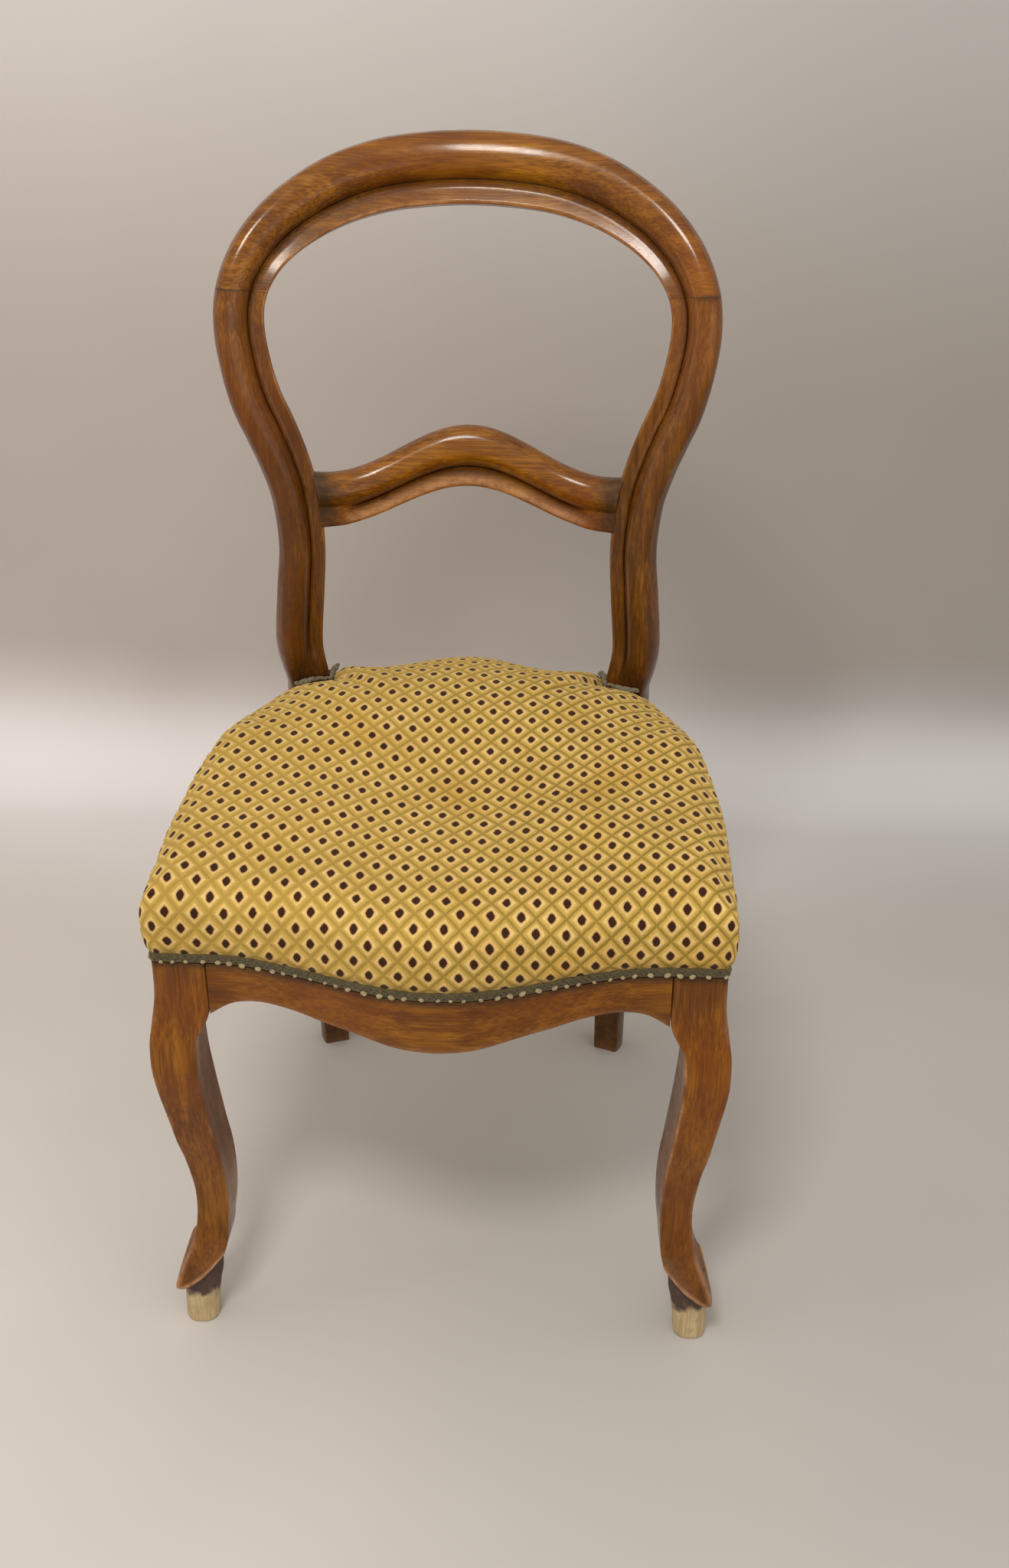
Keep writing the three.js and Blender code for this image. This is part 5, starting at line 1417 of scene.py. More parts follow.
CLOTH = {
    "quality": 6, "mass": 0.25, "tension_stiffness": 28.0, "compression_stiffness": 28.0, "shear_stiffness": 12.0,
    "bending_stiffness": 2.5, "use_pressure": True, "uniform_pressure_force": 4.0, "shrink_min": 0.012,
    "vertex_group_mass": "nailed",
}


@dataclass
class SeatOutline:
    """Line round the seat's frame: place, way out, whether the cloth hangs free, and its lift."""

    frame: SeatFrame
    post_clear: float = 0.0022
    cloth_gap: float = 0.0005
    fine: int = 4

    def rows(self) -> Array:
        """The right half from front to back, one row of x, y, out x, out y, free and lift."""
        p, surface = self.frame.plan, self.frame.back.surface
        rows: list[tuple[float, ...]] = []
        x = np.linspace(0, p.leg_inner, 9 * self.fine + 1)[:-1]
        slope = np.gradient(p.bow_y(x), x)
        rows += [(a, b, c, -1.0, 1.0, 0.0) for a, b, c in zip(x, p.bow_y(x), slope)]
        front, half, soft = p.shift - p.front, p.half, p.edge_round
        for a, lift in ((p.leg_inner, 0.0), (p.leg_inner + 0.012, 0.05), (half - p.block / 3, 0.12),
                        (half - soft * 2, 0.22)):
            rows.append((a, front, 0.0, -1.0, 1.0, lift))
        rows.append((half - soft * 0.8, front + soft * 0.2, 1.0, -2.2, 1.0, 0.3))
        rows.append((half - soft * 0.2, front + soft * 0.8, 2.2, -1.0, 1.0, 0.3))
        for b, lift in ((front + soft * 2.5, 0.42), (front + p.block / 2, 0.6), (p.leg_back - 0.006, 0.76)):
            rows.append((half, b, 1.0, 0.0, 1.0, lift))
        share = np.linspace(0, 0.97, 8 * self.fine + 1)
        path = p.side_at(share, self.frame.corner)
        for spot, out, s in zip(path, outwards(path), share):
            rows.append((spot[0], spot[1], out[0], out[1], 1.0, float(lerp(0.8, -0.95, smoothstep(s, 0.35, 0.95)))))
        end = p.side_at(np.array([0.985]), self.frame.corner)[0]
        rows.append((end[0], end[1], *outwards(path)[-1], 0.5, -1.0))
        inner = self.frame.inner_x
        for across in (0.1, 0.32, 0.55, 0.78, 0.98):
            a = float(lerp(self.frame.corner[0], inner, across))
            b = float(surface.face_y(np.array(a), np.array(surface.seat_line)))
            rows.append((a, b, a / surface.radius, 1.0, 0.0, -1.0))
        rear = p.shift + p.back_y + p.back_thickness
        face = float(surface.face_y(np.array(inner), np.array(surface.seat_line)))
        rows.append((inner + self.post_clear, (face + rear) / 2, 0.35, 1.0, 0.0, -1.0))
        rows.append((inner - soft, rear + self.cloth_gap, 0.3, 1.0, 0.5, -1.0))
        for s in np.linspace(0, 1, 5 * self.fine + 1):
            a = (inner - 3 * soft) * (1 - s)
            b = float(p.back_face(np.array(a), inner)) + p.back_thickness
            turn = 0.2 * max(1 - s * 2.5, 0)
            rows.append((a, b, turn, 1.0, 1.0, float(lerp(-1.0, -0.5, smoothstep(s, 0.2, 1.0)))))
        return np.array(rows)

    def loop(self, count: int) -> tuple[Array, Array, Array, Array]:
        """The whole line in even steps, from the middle of the front round by the right.

        Args:
            count: How many steps.

        Returns:
            Places, ways out, free shares and lifts.
        """
        right = self.rows()
        left = right[::-1] * MIRRORED_ROW
        table = np.vstack([right, left[1:-1], right[:1]])
        made, follower = spread(table[:, :2], count + 1, table[:, 2:])
        return made[:-1], unit(follower[:-1, :2]), follower[:-1, 2], follower[:-1, 3]


@dataclass
class SeatPad:
    """Sprung and stuffed seat in cut velvet, drawn down over the rails into their rebate."""

    outline: SeatOutline
    velvet: CutVelvet
    centre_y: float
    spokes: int = 180
    fine_spokes: int = 900
    fine_rings: int = 150
    edge_lift: float = 0.008
    post_dip: float = 0.025
    hem_below: float = 0.4
    hem_share: float = 0.12
    rise: float = 0.023
    rise_start: float = -0.032
    rise_run: float = 0.198
    hollow: float = 0.006
    hollow_forward: float = 0.042
    hollow_reach: float = 0.132
    cap: float = 0.0050
    moments: int = 20
    relief: float = 0.00095
    slack_relief: float = 0.0007
    fold: tuple[float, float] = (1.6, 3.2)
    laid_at: tuple[float, float] = (0.0075, 0.0014)
    laid_bow: float = 0.0095
    profile: Rows = (
        (-0.0007, 0.387, 1.0, 0.0, 0.0), (0.0002, 0.3912, 1.0, 0.0, 0.0),
        (0.003, 0.3958, 0.97, 0.0, 0.03), (0.0048, 0.404, 0.85, 0.0, 0.12),
        (0.0056, 0.414, 0.7, 0.0, 0.25), (0.0051, 0.424, 0.45, 0.0, 0.5),
        (0.0033, 0.4324, 0.2, 0.0, 0.75), (-0.0005, 0.4373, 0.08, 0.0, 0.92),
        (-0.0077, 0.4419, 0.0, 0.0, 1.0), (-0.0189, 0.448, 0.0, 0.0, 0.95),
        (-0.0189, 0.4506, 0.15, 0.08, 0.7), (-0.0189, 0.4526, 0.3, 0.16, 0.48),
        (-0.0189, 0.4545, 0.42, 0.26, 0.3), (-0.0189, 0.4562, 0.55, 0.36, 0.16),
        (-0.0189, 0.4576, 0.68, 0.48, 0.06), (-0.0189, 0.4586, 0.8, 0.6, 0.0),
        (-0.0189, 0.4591, 0.88, 0.72, 0.0), (-0.0189, 0.4593, 0.95, 0.82, 0.0),
        (-0.0189, 0.4595, 0.98, 0.91, 0.0), (-0.0189, 0.4595, 1.0, 0.975, 0.0),
    )
    top_row: int = 9

    def top_rise(self, flat: Array) -> Array:
        """How far the top rises towards the back, less its worn hollow in front of the middle."""
        ahead = flat[:, 1] - self.centre_y
        away = np.hypot(flat[:, 0], ahead + self.hollow_forward)
        rise = self.rise * smoothstep(ahead, self.rise_start, self.rise_start + self.rise_run)
        return rise - self.hollow * (1 - smoothstep(away, 0, self.hollow_reach))

    def ring(self, loop: tuple[Array, ...], stand: float, height: float, lower: float, gather: float,
             dip: float) -> Array:
        """One ring of the cage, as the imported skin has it."""
        place, out, free, lift = loop
        hanging = free >= 0.5
        distance = np.where(hanging, stand, min(stand, 0.0) - self.outline.post_clear)
        way = np.where((distance > 0)[:, None], out, away_from(self.centre_y, place))
        flat = gathered(place + way * distance[:, None], gather, self.centre_y)
        raised = lift * np.where(lift > 0, self.edge_lift * (1 - lower), self.post_dip * dip)
        z = height + raised + (1.0 if gather > 0 else 1 - lower) * self.top_rise(flat)
        if height < self.hem_below:
            z = np.where(free < 1, OVER_RAILS + self.hem_share * (height - self.profile[0][1]), z)
        return np.column_stack([flat, z])

    def cage(self) -> Array:
        """Coarse rings from the hem up to the crown."""
        loop = self.outline.loop(self.spokes)
        return np.stack([self.ring(loop, *row) for row in self.profile])

    def under_rings(self, hem: Array) -> Array:
        """Rings inside the hem: up behind the cloth, in over the rails and over the spring canvas."""
        away = away_from(self.centre_y, hem[:, :2])
        rings = []
        for inset, gather, z in ((0.002, 0, None), (0.002, 0, OVER_RAILS), (0.012, 0, OVER_RAILS + 0.0022),
                                 (0.030, 0, OVER_RAILS + 0.003), (0.030, 0.1, 0.4255), (0.030, 0.26, 0.4313),
                                 (0.030, 0.6, 0.4318), (0.030, 0.97, 0.4319)):
            flat = gathered(hem[:, :2] - away * inset, gather, self.centre_y)
            rings.append(at_height(flat, hem[:, 2] if z is None else z))
        return np.stack(rings[::-1])

    def inflated(self, cage: Array) -> Array:
        """The cage after its cloth has been blown up against its nailed edge.

        Args:
            cage: Rings from the hem up.

        Returns:
            The settled rings, no point further than the cap from where it started.
        """
        under = self.under_rings(cage[0])
        grid = np.vstack([under, cage])
        body = Skin("seat_in_the_frame", grid).build()
        count = cage.shape[1]
        pinned = body.vertex_groups.new(name="nailed")
        held = len(under) + 2
        pinned.add(list(range(held * count)), 1.0, "REPLACE")
        free = self.outline.loop(self.spokes)[2]
        posts = [(held + k) * count + i for k in range(4) for i in range(count) if free[i] < 1.0]
        pinned.add(posts, 1.0, "REPLACE")
        cloth = body.modifiers.new("cloth", "CLOTH")
        for key, value in CLOTH.items():
            setattr(cloth.settings, key, value)
        cloth.settings.effector_weights.gravity = 0.0
        cloth.collision_settings.use_collision = False
        cloth.point_cache.frame_start, cloth.point_cache.frame_end = 1, self.moments
        scene = bpy.context.scene
        for moment in range(1, self.moments + 1):
            scene.frame_set(moment)
        settled = body.evaluated_get(bpy.context.evaluated_depsgraph_get())
        points = np.empty(len(settled.data.vertices) * 3)
        settled.data.vertices.foreach_get("co", points)
        scene.frame_set(1)
        discard(body)
        move = points.reshape(grid.shape)[len(under):] - cage
        length = np.linalg.norm(move, axis=-1, keepdims=True)
        LOG.info("cloth moved up to %.1f mm, %.1f mm on average", 1000 * length.max(), 1000 * length.mean())
        return cage + move * np.minimum(1.0, self.cap / np.maximum(length, 1e-9))

    def refined(self, grid: Array) -> Array:
        """The rings on a fine grid."""
        rings, count = grid.shape[:2]
        wrapped = np.concatenate([grid[:, -2:], grid, grid[:, :3]], 1)
        place = np.arange(self.fine_spokes) * count / self.fine_spokes + 2
        columns = through(wrapped.transpose(1, 0, 2).reshape(count + 5, -1), place)
        columns = columns.reshape(self.fine_spokes, rings, -1).transpose(1, 0, 2)
        run = np.linalg.norm(np.diff(columns, axis=0), axis=-1).mean(axis=1)
        total = np.concatenate([[0.0], np.cumsum(run)])
        steps = np.interp(np.linspace(0, total[-1], self.fine_rings), total, np.arange(rings))
        return through(columns.reshape(rings, -1), steps).reshape(self.fine_rings, self.fine_spokes, -1)

    def weave_places(self, cage: Array) -> Array:
        """Places on the flat cloth: as seen from above on top, and out along the cloth down its sides.

        The cloth goes down the front and the back with its columns upright, and down the sides with
        its rows upright. It turns from one to the other in a fold just round each corner. It is laid
        on with its rows bowed forwards in the middle, and its columns a little to the right.
        """
        out = self.outline.loop(self.spokes)[1]
        steep = np.abs(out[:, 0]) / np.maximum(np.abs(out[:, 1]), 1e-6)
        side = smoothstep(steep, *self.fold)
        places = np.zeros(cage.shape[:2] + (3,))
        places[..., :2] = cage[..., :2]
        for k in range(self.top_row - 1, -1, -1):
            step = cage[k] - cage[k + 1]
            across = lerp(step[:, 0], np.sign(out[:, 0]) * np.hypot(step[:, 0], step[:, 2]), side)
            along = lerp(np.sign(out[:, 1]) * np.hypot(step[:, 1], step[:, 2]), step[:, 1], side)
            places[k, :, 0] = places[k + 1, :, 0] + across
            places[k, :, 1] = places[k + 1, :, 1] + along
        bowed = self.laid_bow * smoothstep(np.abs(places[..., 0]), 0.02, 0.14)
        places[..., 0] += self.velvet.pitch / 2 - self.laid_at[0]
        places[..., 1] -= self.centre_y + self.laid_at[1] + bowed
        return places

    def seat(self) -> Skin:
        """The finished seat with its lozenges raised in the mesh."""
        cage = self.cage()
        settled = self.inflated(cage)
        both = self.refined(np.concatenate([settled, self.weave_places(cage)], -1))
        points, weave = both[..., :3], both[..., 3:]
        across = np.roll(points, -1, axis=1) - np.roll(points, 1, axis=1)
        up = np.gradient(points, axis=0)
        normal = np.cross(across, up)
        normal /= np.maximum(np.linalg.norm(normal, axis=-1, keepdims=True), 1e-9)
        middle = np.array([0.0, self.centre_y, 0.42])
        if np.einsum("ijk,ijk->ij", normal, points - middle).mean() < 0:
            normal = -normal
        out, seed = self.velvet.lozenge(weave[..., 0], weave[..., 1])
        pile = (1 - smoothstep(out, 0.62, 0.98)) - 0.3 * (1 - smoothstep(seed, 0.6, 1.5)) - 1.0
        slack = cloudiness(points, 0.055, 50.0)
        edge = smoothstep(np.arange(len(points)), 4, 12)[:, None]
        points = points + normal * ((pile * self.relief + slack * self.slack_relief) * edge)[..., None]
        under = self.under_rings(points[0])
        grid = np.vstack([under, points])
        pad = len(under)
        height = points[..., 2]
        dirt = np.maximum(0.5 * smoothstep(height, 0.402, 0.389), 0.25 * np.clip(slack, 0, 1))
        grime = np.vstack([np.full((pad, self.fine_spokes), 0.6), dirt])
        uv = np.vstack([np.repeat(weave[:1], pad, axis=0), weave])
        return Skin("velvet_seat", grid, grime=grime, sharp_degrees=75, uv=uv)

    def build(self) -> None:
        """Make and dress the seat."""
        seat = seated(self.seat(), self.velvet.make(), Slot.VELVET, "seat_cover", "seat_stuffing")


def bundle(name: str, skins: Iterable[Skin]) -> Object:
    """Several small skins as one object.

    Args:
        name: Name of the object.
        skins: The skins, all with the same finish.

    Returns:
        The object.
    """
    parts = [skin.build() for skin in skins]
    vertices, faces, labels = [], [], {"grain": [], "grime": [], "wear": []}
    for part in parts:
        mesh = part.data
        start = len(vertices)
        vertices += [tuple(v.co) for v in mesh.vertices]
        faces += [tuple(start + i for i in polygon.vertices) for polygon in mesh.polygons]
        for label, rows in labels.items():
            width = 3 if label == "grain" else 1
            values = np.empty(len(mesh.vertices) * width, np.float32)
            mesh.attributes[label].data.foreach_get("vector" if width == 3 else "value", values)
            rows.append(values)
        discard(part)
    whole = bpy.data.meshes.new(name)
    whole.from_pydata(vertices, [], faces)
    for label, rows in labels.items():
        put = put_vector if label == "grain" else put_share
        put(whole, label, np.concatenate(rows))
    smooth_shaded(whole, 60)
    return placed(name, whole)


# Braid round the seat

@dataclass
class Braid:
    """Dark gimp over the nails, with cream tufts along its lower edge."""

    outline: SeatOutline
    near: float = -0.00035
    low: float = 0.3824
    high: float = 0.3902
    thickness: float = 0.0018
    cord_radius: float = 0.0008
    cord_wave: float = 0.0024
    cord_pitch: float = 0.0078
    tuft_pitch: float = 0.0110
    tuft_size: Triple = (0.0021, 0.0013, 0.0017)
    tuft_margins: tuple[float, float] = (0.005, 0.004)
    tuft_rise: float = 0.0014
    path_step: float = 0.0016
    cord_step: float = 0.00085
    bevel: tuple[float, float] = (0.0003, 0.0008)
    unevenness: tuple[float, float] = (0.0016, 0.0006)
    end_tufts: int = 16
    end_height: float = 0.441
    end_forward: float = 0.0016
    end_unevenness: float = 0.0012
    end_growth: float = 1.35

    def run(self, back: bool) -> tuple[Array, Array]:
        """Line that the braid follows, and the ways out.

        Args:
            back: Whether it is the run along the back rail.

        Returns:
            Places and unit vectors.
        """
        right = self.outline.rows()
        free = np.nonzero(right[:, 4] < 1)[0]
        half = right[free[-1] + 1:] if back else right[:free[0]]
        left = half[::-1] * MIRRORED_ROW
        table = np.vstack([half, left[1:]]) if back else np.vstack([left[:-1], half])
        length = np.linalg.norm(np.diff(table[:, :2], axis=0), axis=1).sum()
        path, out = spread(table[:, :2], int(length / self.path_step), table[:, 2:4])
        return path, unit(out)

    def band(self, path: Array, out: Array, name: str) -> Skin:
        """Flat woven band that lies against the cloth."""
        near, far = self.near, self.near + self.thickness * 0.55
        middle = (self.low + self.high) / 2
        back, up = self.bevel
        section = [(near, self.low), (far - back, self.low), (far, self.low + up), (far, middle)]
        section += [(far, self.high - up), (far - back, self.high), (near, self.high)]
        grid = np.stack([at_height(path + out * stand, z) for stand, z in section], 1)
        flat = at_height(path, 0.0)
        grid[..., 2] += cloudiness(flat, 0.03, 61.0)[:, None] * 0.0004
        grid[:, 4:, 2] += cloudiness(flat, 0.005, 62.0)[:, None] * 0.0009
        return Skin(name, grid, grime=0.3, sharp_degrees=80)

    def cords(self, path: Array, out: Array) -> Iterable[Skin]:
        """Wavy cords laid on the band, over and under each other."""
        run = run_along(path)
        steps = np.linspace(0, run[-1], int(run[-1] / self.cord_step))
        places, ways = (np.stack([np.interp(steps, run, rows[:, k]) for k in (0, 1)], -1) for rows in (path, out))
        middle = (self.low + self.high) / 2
        radius = self.cord_radius
        for k in range(3):
            turn = 2 * math.pi * (steps / (3 * self.cord_pitch)) * 1.5 + 2 * math.pi * k / 3
            stand = self.near + self.thickness - radius * (0.9 - 0.28 * np.cos(2 * turn))
            height = middle + self.cord_wave * np.sin(turn)
            line = np.column_stack([places + ways * stand[:, None], height])
            yield Skin(f"cord_{k}", tube(line, radius, 7), grime=0.1, board=0.3 * k)

    def tuft(self, place: Array, way: Array, z: float, seed: float, growth: float = 1.0) -> Skin:
        """One tuft of yarn."""
        lean = math.sin(12.9898 * seed) * 0.35
        size = np.array(self.tuft_size) * growth * (1 + 0.24 * math.sin(78.2 * seed))
        tilt = np.linspace(-math.pi / 2 + 0.2, math.pi / 2 - 0.2, 9)
        turn = circle(14)
        along = np.array([-way[1], way[0], 0.0])
        outward = np.array([way[0], way[1], 0.0])
        up = np.array([0.0, 0.0, 1.0])
        centre = np.array([place[0], place[1], z]) + outward * (self.near + self.thickness + 0.0002)
        rings = []
        for t in tilt:
            ring = (np.sin(t) * size[0] * along + np.cos(t) * (
                np.cos(turn)[:, None] * size[1] * outward + np.sin(turn)[:, None] * size[2] * up))
            rings.append(ring + lean * np.sin(t) * size[0] * 0.7 * up)
        grid = np.array(rings)
        rough = 1 + 0.16 * cloudiness(grid + centre, 0.0011, seed)
        return Skin("tuft", centre + grid * rough[..., None], board=seed * 0.01)

    def tufts(self, path: Array, out: Array, start: float) -> Iterable[Skin]:
        """Tufts at nearly even steps along the lower edge."""
        start_at, stop_short = self.tuft_margins
        sideways, upwards = self.unevenness
        run = run_along(path)
        for k, at in enumerate(np.arange(start_at, run[-1] - stop_short, self.tuft_pitch)):
            seed = start + 0.731 * k
            at += sideways * math.sin(45.1 * seed)
            place, way = (np.array([np.interp(at, run, rows[:, j]) for j in (0, 1)]) for rows in (path, out))
            yield self.tuft(place, way, self.low + self.tuft_rise + upwards * math.sin(9.7 * seed), seed)

    def post_end(self, side: Side) -> Iterable[Skin]:
        """Frayed end of gimp stuck down where the cloth meets the front of a post."""
        rows = self.outline.rows()
        stop = rows[rows[:, 4] < 1]
        path, out = spread(stop[1:, :2], self.end_tufts, stop[1:, 2:4])
        for k, (place, way) in enumerate(zip(path, -unit(out))):
            seed = 5.3 * side.value + 0.731 * k + 9.0
            spot = np.array([place[0] * side.value, place[1]])
            turned = np.array([way[0] * side.value, way[1]])
            height = self.end_height + self.end_unevenness * math.sin(7.9 * seed)
            yield self.tuft(spot + turned * self.end_forward, turned, height, seed, self.end_growth)

    def build(self) -> None:
        """Make and dress both braids and the frayed ends at the posts."""
        dark = Yarn("olive_gimp", (0.014, 0.010, 0.003), (0.145, 0.104, 0.034)).make()
        cream = Yarn("cream_tufts", (0.16, 0.105, 0.035), (0.56, 0.44, 0.23), twist=1500.0).make()
        for word, back in (("front", False), ("back", True)):
            path, out = self.run(back)
            seated(self.band(path, out, f"{word}_gimp_band"), dark, Slot.BRAID, f"{word}_gimp")
            cords = bundle(f"{word}_gimp_cords", self.cords(path, out))
            seated(cords, dark, Slot.BRAID, f"{word}_gimp")
            tufts = bundle(f"{word}_gimp_tufts", self.tufts(path, out, 3.0 if back else 1.0))
            seated(tufts, cream, Slot.BRAID, f"{word}_gimp")
        frayed = Yarn("frayed_gimp", (0.035, 0.030, 0.016), (0.30, 0.25, 0.14), twist=1300.0).make()
        for side in Side:
            seated(bundle(f"{side.word}_post_gimp", self.post_end(side)), frayed, Slot.BRAID)


# Under the seat

@dataclass
class Underside:
    """Webbing, springs, canvas, corner blocks and screws inside the seat frame."""

    frame: SeatFrame
    outline: SeatOutline
    centre_y: float
    pitch_x: float = 0.068
    pitch_y: float = 0.092
    web_width: float = 0.050
    web_thickness: float = 0.0017
    web_rest: float = 0.3508
    web_wave: float = 0.001025
    web_margin: float = 0.006
    web_bend: tuple[float, float] = (0.016, 0.001)
    spring_end: float = 0.030
    spring_waist: float = 0.020
    spring_turns: int = 5
    wire: float = 0.0017
    spring_base: float = 0.35525
    canvas_crown: float = 0.429
    canvas_thickness: float = 0.0012

    @property
    def web_xs(self) -> list[float]:
        """Middle lines of the straps that run from front to back."""
        return [-self.pitch_x, 0.0, self.pitch_x]

    @property
    def web_ys(self) -> list[float]:
        """Middle lines of the straps that run across."""
        return [self.centre_y + k * self.pitch_y for k in (-1, 0, 1)]

    def strap(self, name: str, place: float, ends: Callable[[Array], tuple[Array, Array]],
              crossings: list[float], phase: int, crosswise: bool) -> Skin:
        """One strap, over and under those that it crosses.

        Args:
            name: Name of the piece.
            place: Where its middle line is.
            ends: Gives where it starts and stops at each place across it.
            crossings: Where the straps that it crosses have their middle lines.
            phase: Whether it starts over or under.
            crosswise: Whether it runs across the seat.

        Returns:
            The strap.
        """
        across = np.linspace(-1, 1, 13)
        edge = place + across * self.web_width / 2
        start, stop = ends(edge)
        share = np.linspace(0, 1, 110)
        run = lerp(start[None, :], stop[None, :], share[:, None])
        height = np.zeros_like(run)
        for k, crossing in enumerate(crossings):
            sign = 1.0 if k % 2 == phase else -1.0
            flat = smoothstep(np.abs(run - crossing), *(self.web_width / 2 + bend for bend in self.web_bend))
            height = height + sign * flat * self.web_wave
        half = self.web_thickness / 2 * np.where(np.abs(across) > 0.97, 0.6, 1.0)
        low, high = self.web_rest + height - half, self.web_rest + height + half
        flat_x, flat_y = (run, np.broadcast_to(edge, run.shape)) if crosswise else (
            np.broadcast_to(edge, run.shape), run)
        under = np.stack([flat_x, flat_y, low], -1)
        over = np.stack([flat_x, flat_y, high], -1)[:, ::-1]
        grid = np.concatenate([under, over], 1)
        weave = np.stack([flat_x, flat_y, 0 * run], -1)
        return Skin(name, grid, sharp_degrees=80, uv=np.concatenate([weave, weave[:, ::-1]], 1))

    def side_x(self, y: Array) -> Array:
        """Outer face of the right side rail at y."""
        corner = self.frame.corner
        share = (y - self.frame.plan.leg_back) / (corner[1] - self.frame.plan.leg_back)
        return self.frame.plan.side_at(share, corner)[..., 0]

    def straps(self) -> Iterable[tuple[Skin, str]]:
        """Every strap with the name of its solid."""
        inner = self.frame.inner_x
        plan = self.frame.plan

        def from_front(x: Array) -> tuple[Array, Array]:
            """Ends of a strap from front to back."""
            return (plan.bow_y(x) + self.frame.apron_thickness + plan.edge_round,
                    plan.back_face(x, inner) + plan.back_thickness - self.web_margin)

        def from_side(y: Array) -> tuple[Array, Array]:
            """Ends of a strap across."""
            reach = self.side_x(y) - self.web_margin
            return -reach, reach

        runs = (("length", self.web_xs, from_front, self.web_ys), ("cross", self.web_ys, from_side, self.web_xs))
        for crosswise, (word, places, ends, crossings) in enumerate(runs):
            for k, place in enumerate(places):
                name = f"web_{word}_{k + 1}"
                phase = (k + crosswise) % 2
                yield self.strap(f"jute_{name}", place, ends, crossings, phase, bool(crosswise)), name

    def spring(self, x: float, y: float, number: int) -> Skin:
        """One hourglass spring, standing on the webbing."""
        t = np.linspace(0, 1, 40 * self.spring_turns)
        radius = lerp(self.spring_end, self.spring_waist, 4 * t * (1 - t))
        turn = 2 * math.pi * self.spring_turns * t
        top = self.canvas_crown - self.frame.plan.gap - self.wire
        line = np.column_stack([x + radius * np.cos(turn), y + radius * np.sin(turn), lerp(self.spring_base, top, t)])
        return Skin(f"hourglass_spring_{number}", tube(line, self.wire, 10), sharp_degrees=60)

    def canvas(self) -> Skin:
        """Canvas over the springs, nailed on the rails."""
        loop = self.outline.loop(180)
        place = loop[0]
        away = away_from(self.centre_y, place)
        draw = np.where(loop[2] >= 0.5, 0.0, self.outline.post_clear)
        low, high = OVER_RAILS, self.canvas_crown
        rows = ((0.009, 0.0, low), (0.022, 0.0, low), (0.026, 0.02, low + 0.0012), (0.026, 0.06, lerp(low, high, 0.5)),
                (0.026, 0.1, lerp(low, high, 0.78)), (0.026, 0.17, lerp(low, high, 0.95)), (0.026, 0.26, high),
                (0.026, 0.45, high), (0.026, 0.7, high), (0.026, 0.96, high))
        sides = []
        for lift in (0.0, self.canvas_thickness):
            rings = []
            for stand, gather, z in rows:
                flat = gathered(place - away * (stand + draw)[:, None], gather, self.centre_y)
                rings.append(at_height(flat, float(z) + lift))
            sides.append(np.stack(rings))
        grid = np.vstack([sides[0][::-1], sides[1]])
        return Skin("spring_canvas_cloth", grid, sharp_degrees=80, uv=grid * np.array([1.0, 1.0, 0.0]))

    def build(self) -> None:
        """Make and dress what is inside the seat frame."""
        jute = PlainWeave().make()
        canvas = PlainWeave("hessian_canvas", 0.0009, (0.13, 0.09, 0.05), (0.38, 0.28, 0.165)).make()
        steel = DullSteel().make()
        beech = BareWood("raw_beech_block", (0.52, 0.36, 0.2), (0.36, 0.22, 0.105), stored_grain=False).make()
        for skin, node in self.straps():
            strap = seated(skin, jute, Slot.JUTE, node)
            LOG.info("%s is %.0f mm wide", strap.name, 1000 * self.web_width)
        seated(self.canvas(), canvas, Slot.JUTE, "spring_canvas")
        spots = [(x, y) for y in (self.web_ys[0], self.web_ys[2]) for x in (self.web_xs[0], self.web_xs[2])]
        spots.append((0.0, self.centre_y))
        nodes = [f"seat_spring_{k}" for k in range(1, 6)]
        for node in nodes:
            low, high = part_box(node)
            middle = ((low[0] + high[0]) / 2, (low[1] + high[1]) / 2)
            x, y = min(spots, key=lambda spot: math.dist(spot, middle))
            seated(self.spring(x, y, int(node[-1])), steel, Slot.STEEL, node)
        for part in bpy.data.objects:
            if part.type != "MESH" or part.name not in frame_node_names():
                continue
            if part.name.endswith("_screw"):
                redressed(part, steel)
            elif part.name.endswith(("_block", "_dowel")):
                redressed(part, beech)


def frame_node_names() -> set[str]:
    """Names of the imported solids."""
    return {entry if isinstance(entry, str) else entry["name"] for entry in frame["nodes"]}


def redressed(part: Object, material: Material) -> None:
    """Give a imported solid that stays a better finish."""
    if not part.material_slots:
        part.data.materials.append(material)
    for slot in part.material_slots:
        slot.material = material


# The studio

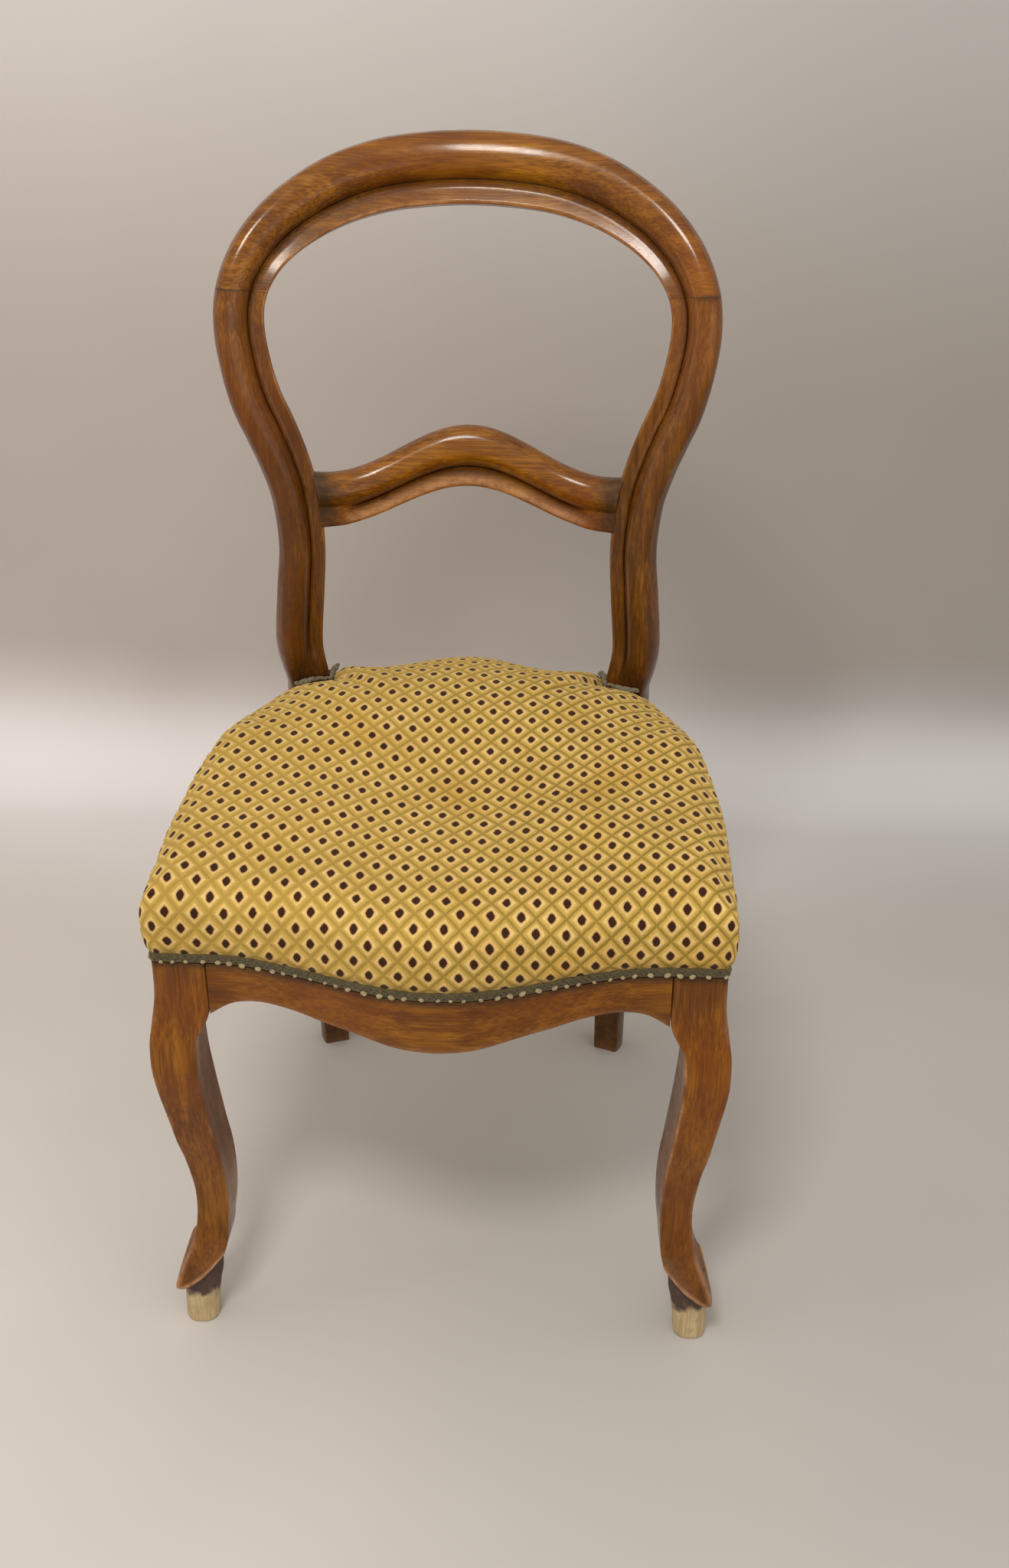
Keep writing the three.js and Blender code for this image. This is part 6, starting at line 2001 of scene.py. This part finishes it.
@dataclass
class Studio:
    """Floor, wall, lamps and the camera at the photograph's viewing angle."""

    shift: float
    camera_spot: Triple = (0.095, -1.337, 1.199)
    yaw: float = -2.27
    pitch: float = 29.67
    roll: float = 0.31
    lens: float = 42.47
    wall_y: float = 0.74
    cove: float = 0.12
    air: Colour = (0.9, 0.89, 0.88)
    air_strength: float = 1.03

    def camera(self) -> Object:
        """The camera."""
        yaw, pitch, roll = (math.radians(a) for a in (self.yaw, self.pitch, self.roll))
        ahead = Vector((math.sin(yaw) * math.cos(pitch), math.cos(yaw) * math.cos(pitch), -math.sin(pitch)))
        right = Vector((math.cos(yaw), -math.sin(yaw), 0.0))
        up = right.cross(ahead)
        right, up = (right * math.cos(roll) + up * math.sin(roll), up * math.cos(roll) - right * math.sin(roll))
        data = bpy.data.cameras.new("studio_camera")
        data.lens = self.lens
        data.sensor_width = 36.0
        data.sensor_fit = "AUTO"
        data.clip_start = 0.05
        made = placed("studio_camera", data)
        turn = Matrix((right, up, -ahead)).transposed()
        x, y, z = self.camera_spot
        made.matrix_world = Matrix.Translation((x, y + self.shift, z)) @ turn.to_4x4()
        bpy.context.scene.camera = made
        return made

    def lamp(self, name: str, spot: Triple, aim: Triple,
             size: tuple[float, float], power: float, colour: Colour = (1.0, 1.0, 1.0)) -> None:
        """One soft rectangular lamp.

        Args:
            name: Name of the lamp.
            spot: Where it hangs.
            aim: What it points at.
            size: Width and height.
            power: Power in watts.
            colour: Colour of its light.
        """
        data = bpy.data.lights.new(name, "AREA")
        data.shape = "RECTANGLE"
        data.size, data.size_y = size
        data.energy = power
        data.color = colour
        made = placed(name, data)
        made.location = spot
        made.rotation_euler = (Vector(aim) - Vector(spot)).to_track_quat("-Z", "Y").to_euler()

    def sweep(self) -> Object:
        """Floor and wall as one sheet with a rounded seam."""
        across = np.linspace(-4.0, 4.0, 9)
        turn = np.linspace(0, math.pi / 2, 13)
        profile = [(-5.0, 0.0), (-2.0, 0.0)]
        profile += [(self.wall_y - self.cove + self.cove * math.sin(t), self.cove * (1 - math.cos(t))) for t in turn]
        profile += [(self.wall_y, 1.0), (self.wall_y, 3.2)]
        grid = np.array([[(x, y, z) for x in across] for y, z in profile])
        mesh = bpy.data.meshes.new("studio_sweep")
        sheet = Skin("studio_sweep", grid, around=False, capped=False)
        mesh.from_pydata(grid.reshape(-1, 3).tolist(), [], sheet.faces())
        smooth_shaded(mesh, 60)
        made = placed("studio_sweep", mesh)
        made.data.materials.append(StudioPaper().make())
        return made

    def build(self) -> None:
        """Set up the camera, the sweep, the lamps and the world."""
        self.camera()
        self.sweep()
        seat = (0.0, self.shift, 0.45)
        for lamp in (
            ("high_window", (-0.36, -1.8 + self.shift, 2.95), (0.0, 0.2 + self.shift, 0.9), (0.66, 0.56), 42.0),
            ("ceiling", (0.0, 0.1, 3.0), seat, (3.0, 2.2), 5.0, (1.0, 0.98, 0.95)),
            ("room_light", (1.6, -2.6, 1.2), seat, (2.0, 1.6), 8.0, (1.0, 0.97, 0.94)),
            ("side_window", (-2.3, -0.9, 1.25), (0.0, 0.0, 0.65), (0.14, 1.5), 2.5, (1.0, 0.98, 0.95)),
        ):
            self.lamp(*lamp)
        world = bpy.data.worlds.new("studio_air")
        world.use_nodes = True
        colour, strength = world.node_tree.nodes["Background"].inputs[:2]
        colour.default_value = (*self.air, 1.0)
        strength.default_value = self.air_strength
        scene = bpy.context.scene
        scene.world = world
        scene.view_settings.view_transform = "Standard"


def main() -> None:
    """Build the chair piece by piece and report each one."""
    logging.basicConfig(level=logging.INFO, format="%(name)s: %(message)s")
    low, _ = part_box("front_rail")
    shift = low[1] + RAIL_FRONT
    Studio(shift).build()
    walnut = PolishedWood().make()
    worn = BareWood("worn_peg_foot", (0.52, 0.40, 0.21), (0.35, 0.24, 0.11)).make()
    back = MouldedBack(BackSurface(shift))
    back.build(walnut)
    plan = SeatPlan(shift)
    rails = SeatFrame(plan, back)
    rails.build(walnut)
    for side in Side:
        CabrioleLeg(plan, side).build(walnut, worn)
    outline = SeatOutline(rails)
    centre_y = shift - SEAT_MIDDLE
    SeatPad(outline, CutVelvet(), centre_y).build()
    Braid(outline).build()
    Underside(rails, outline, centre_y).build()


if __name__ == "__main__":
    main()
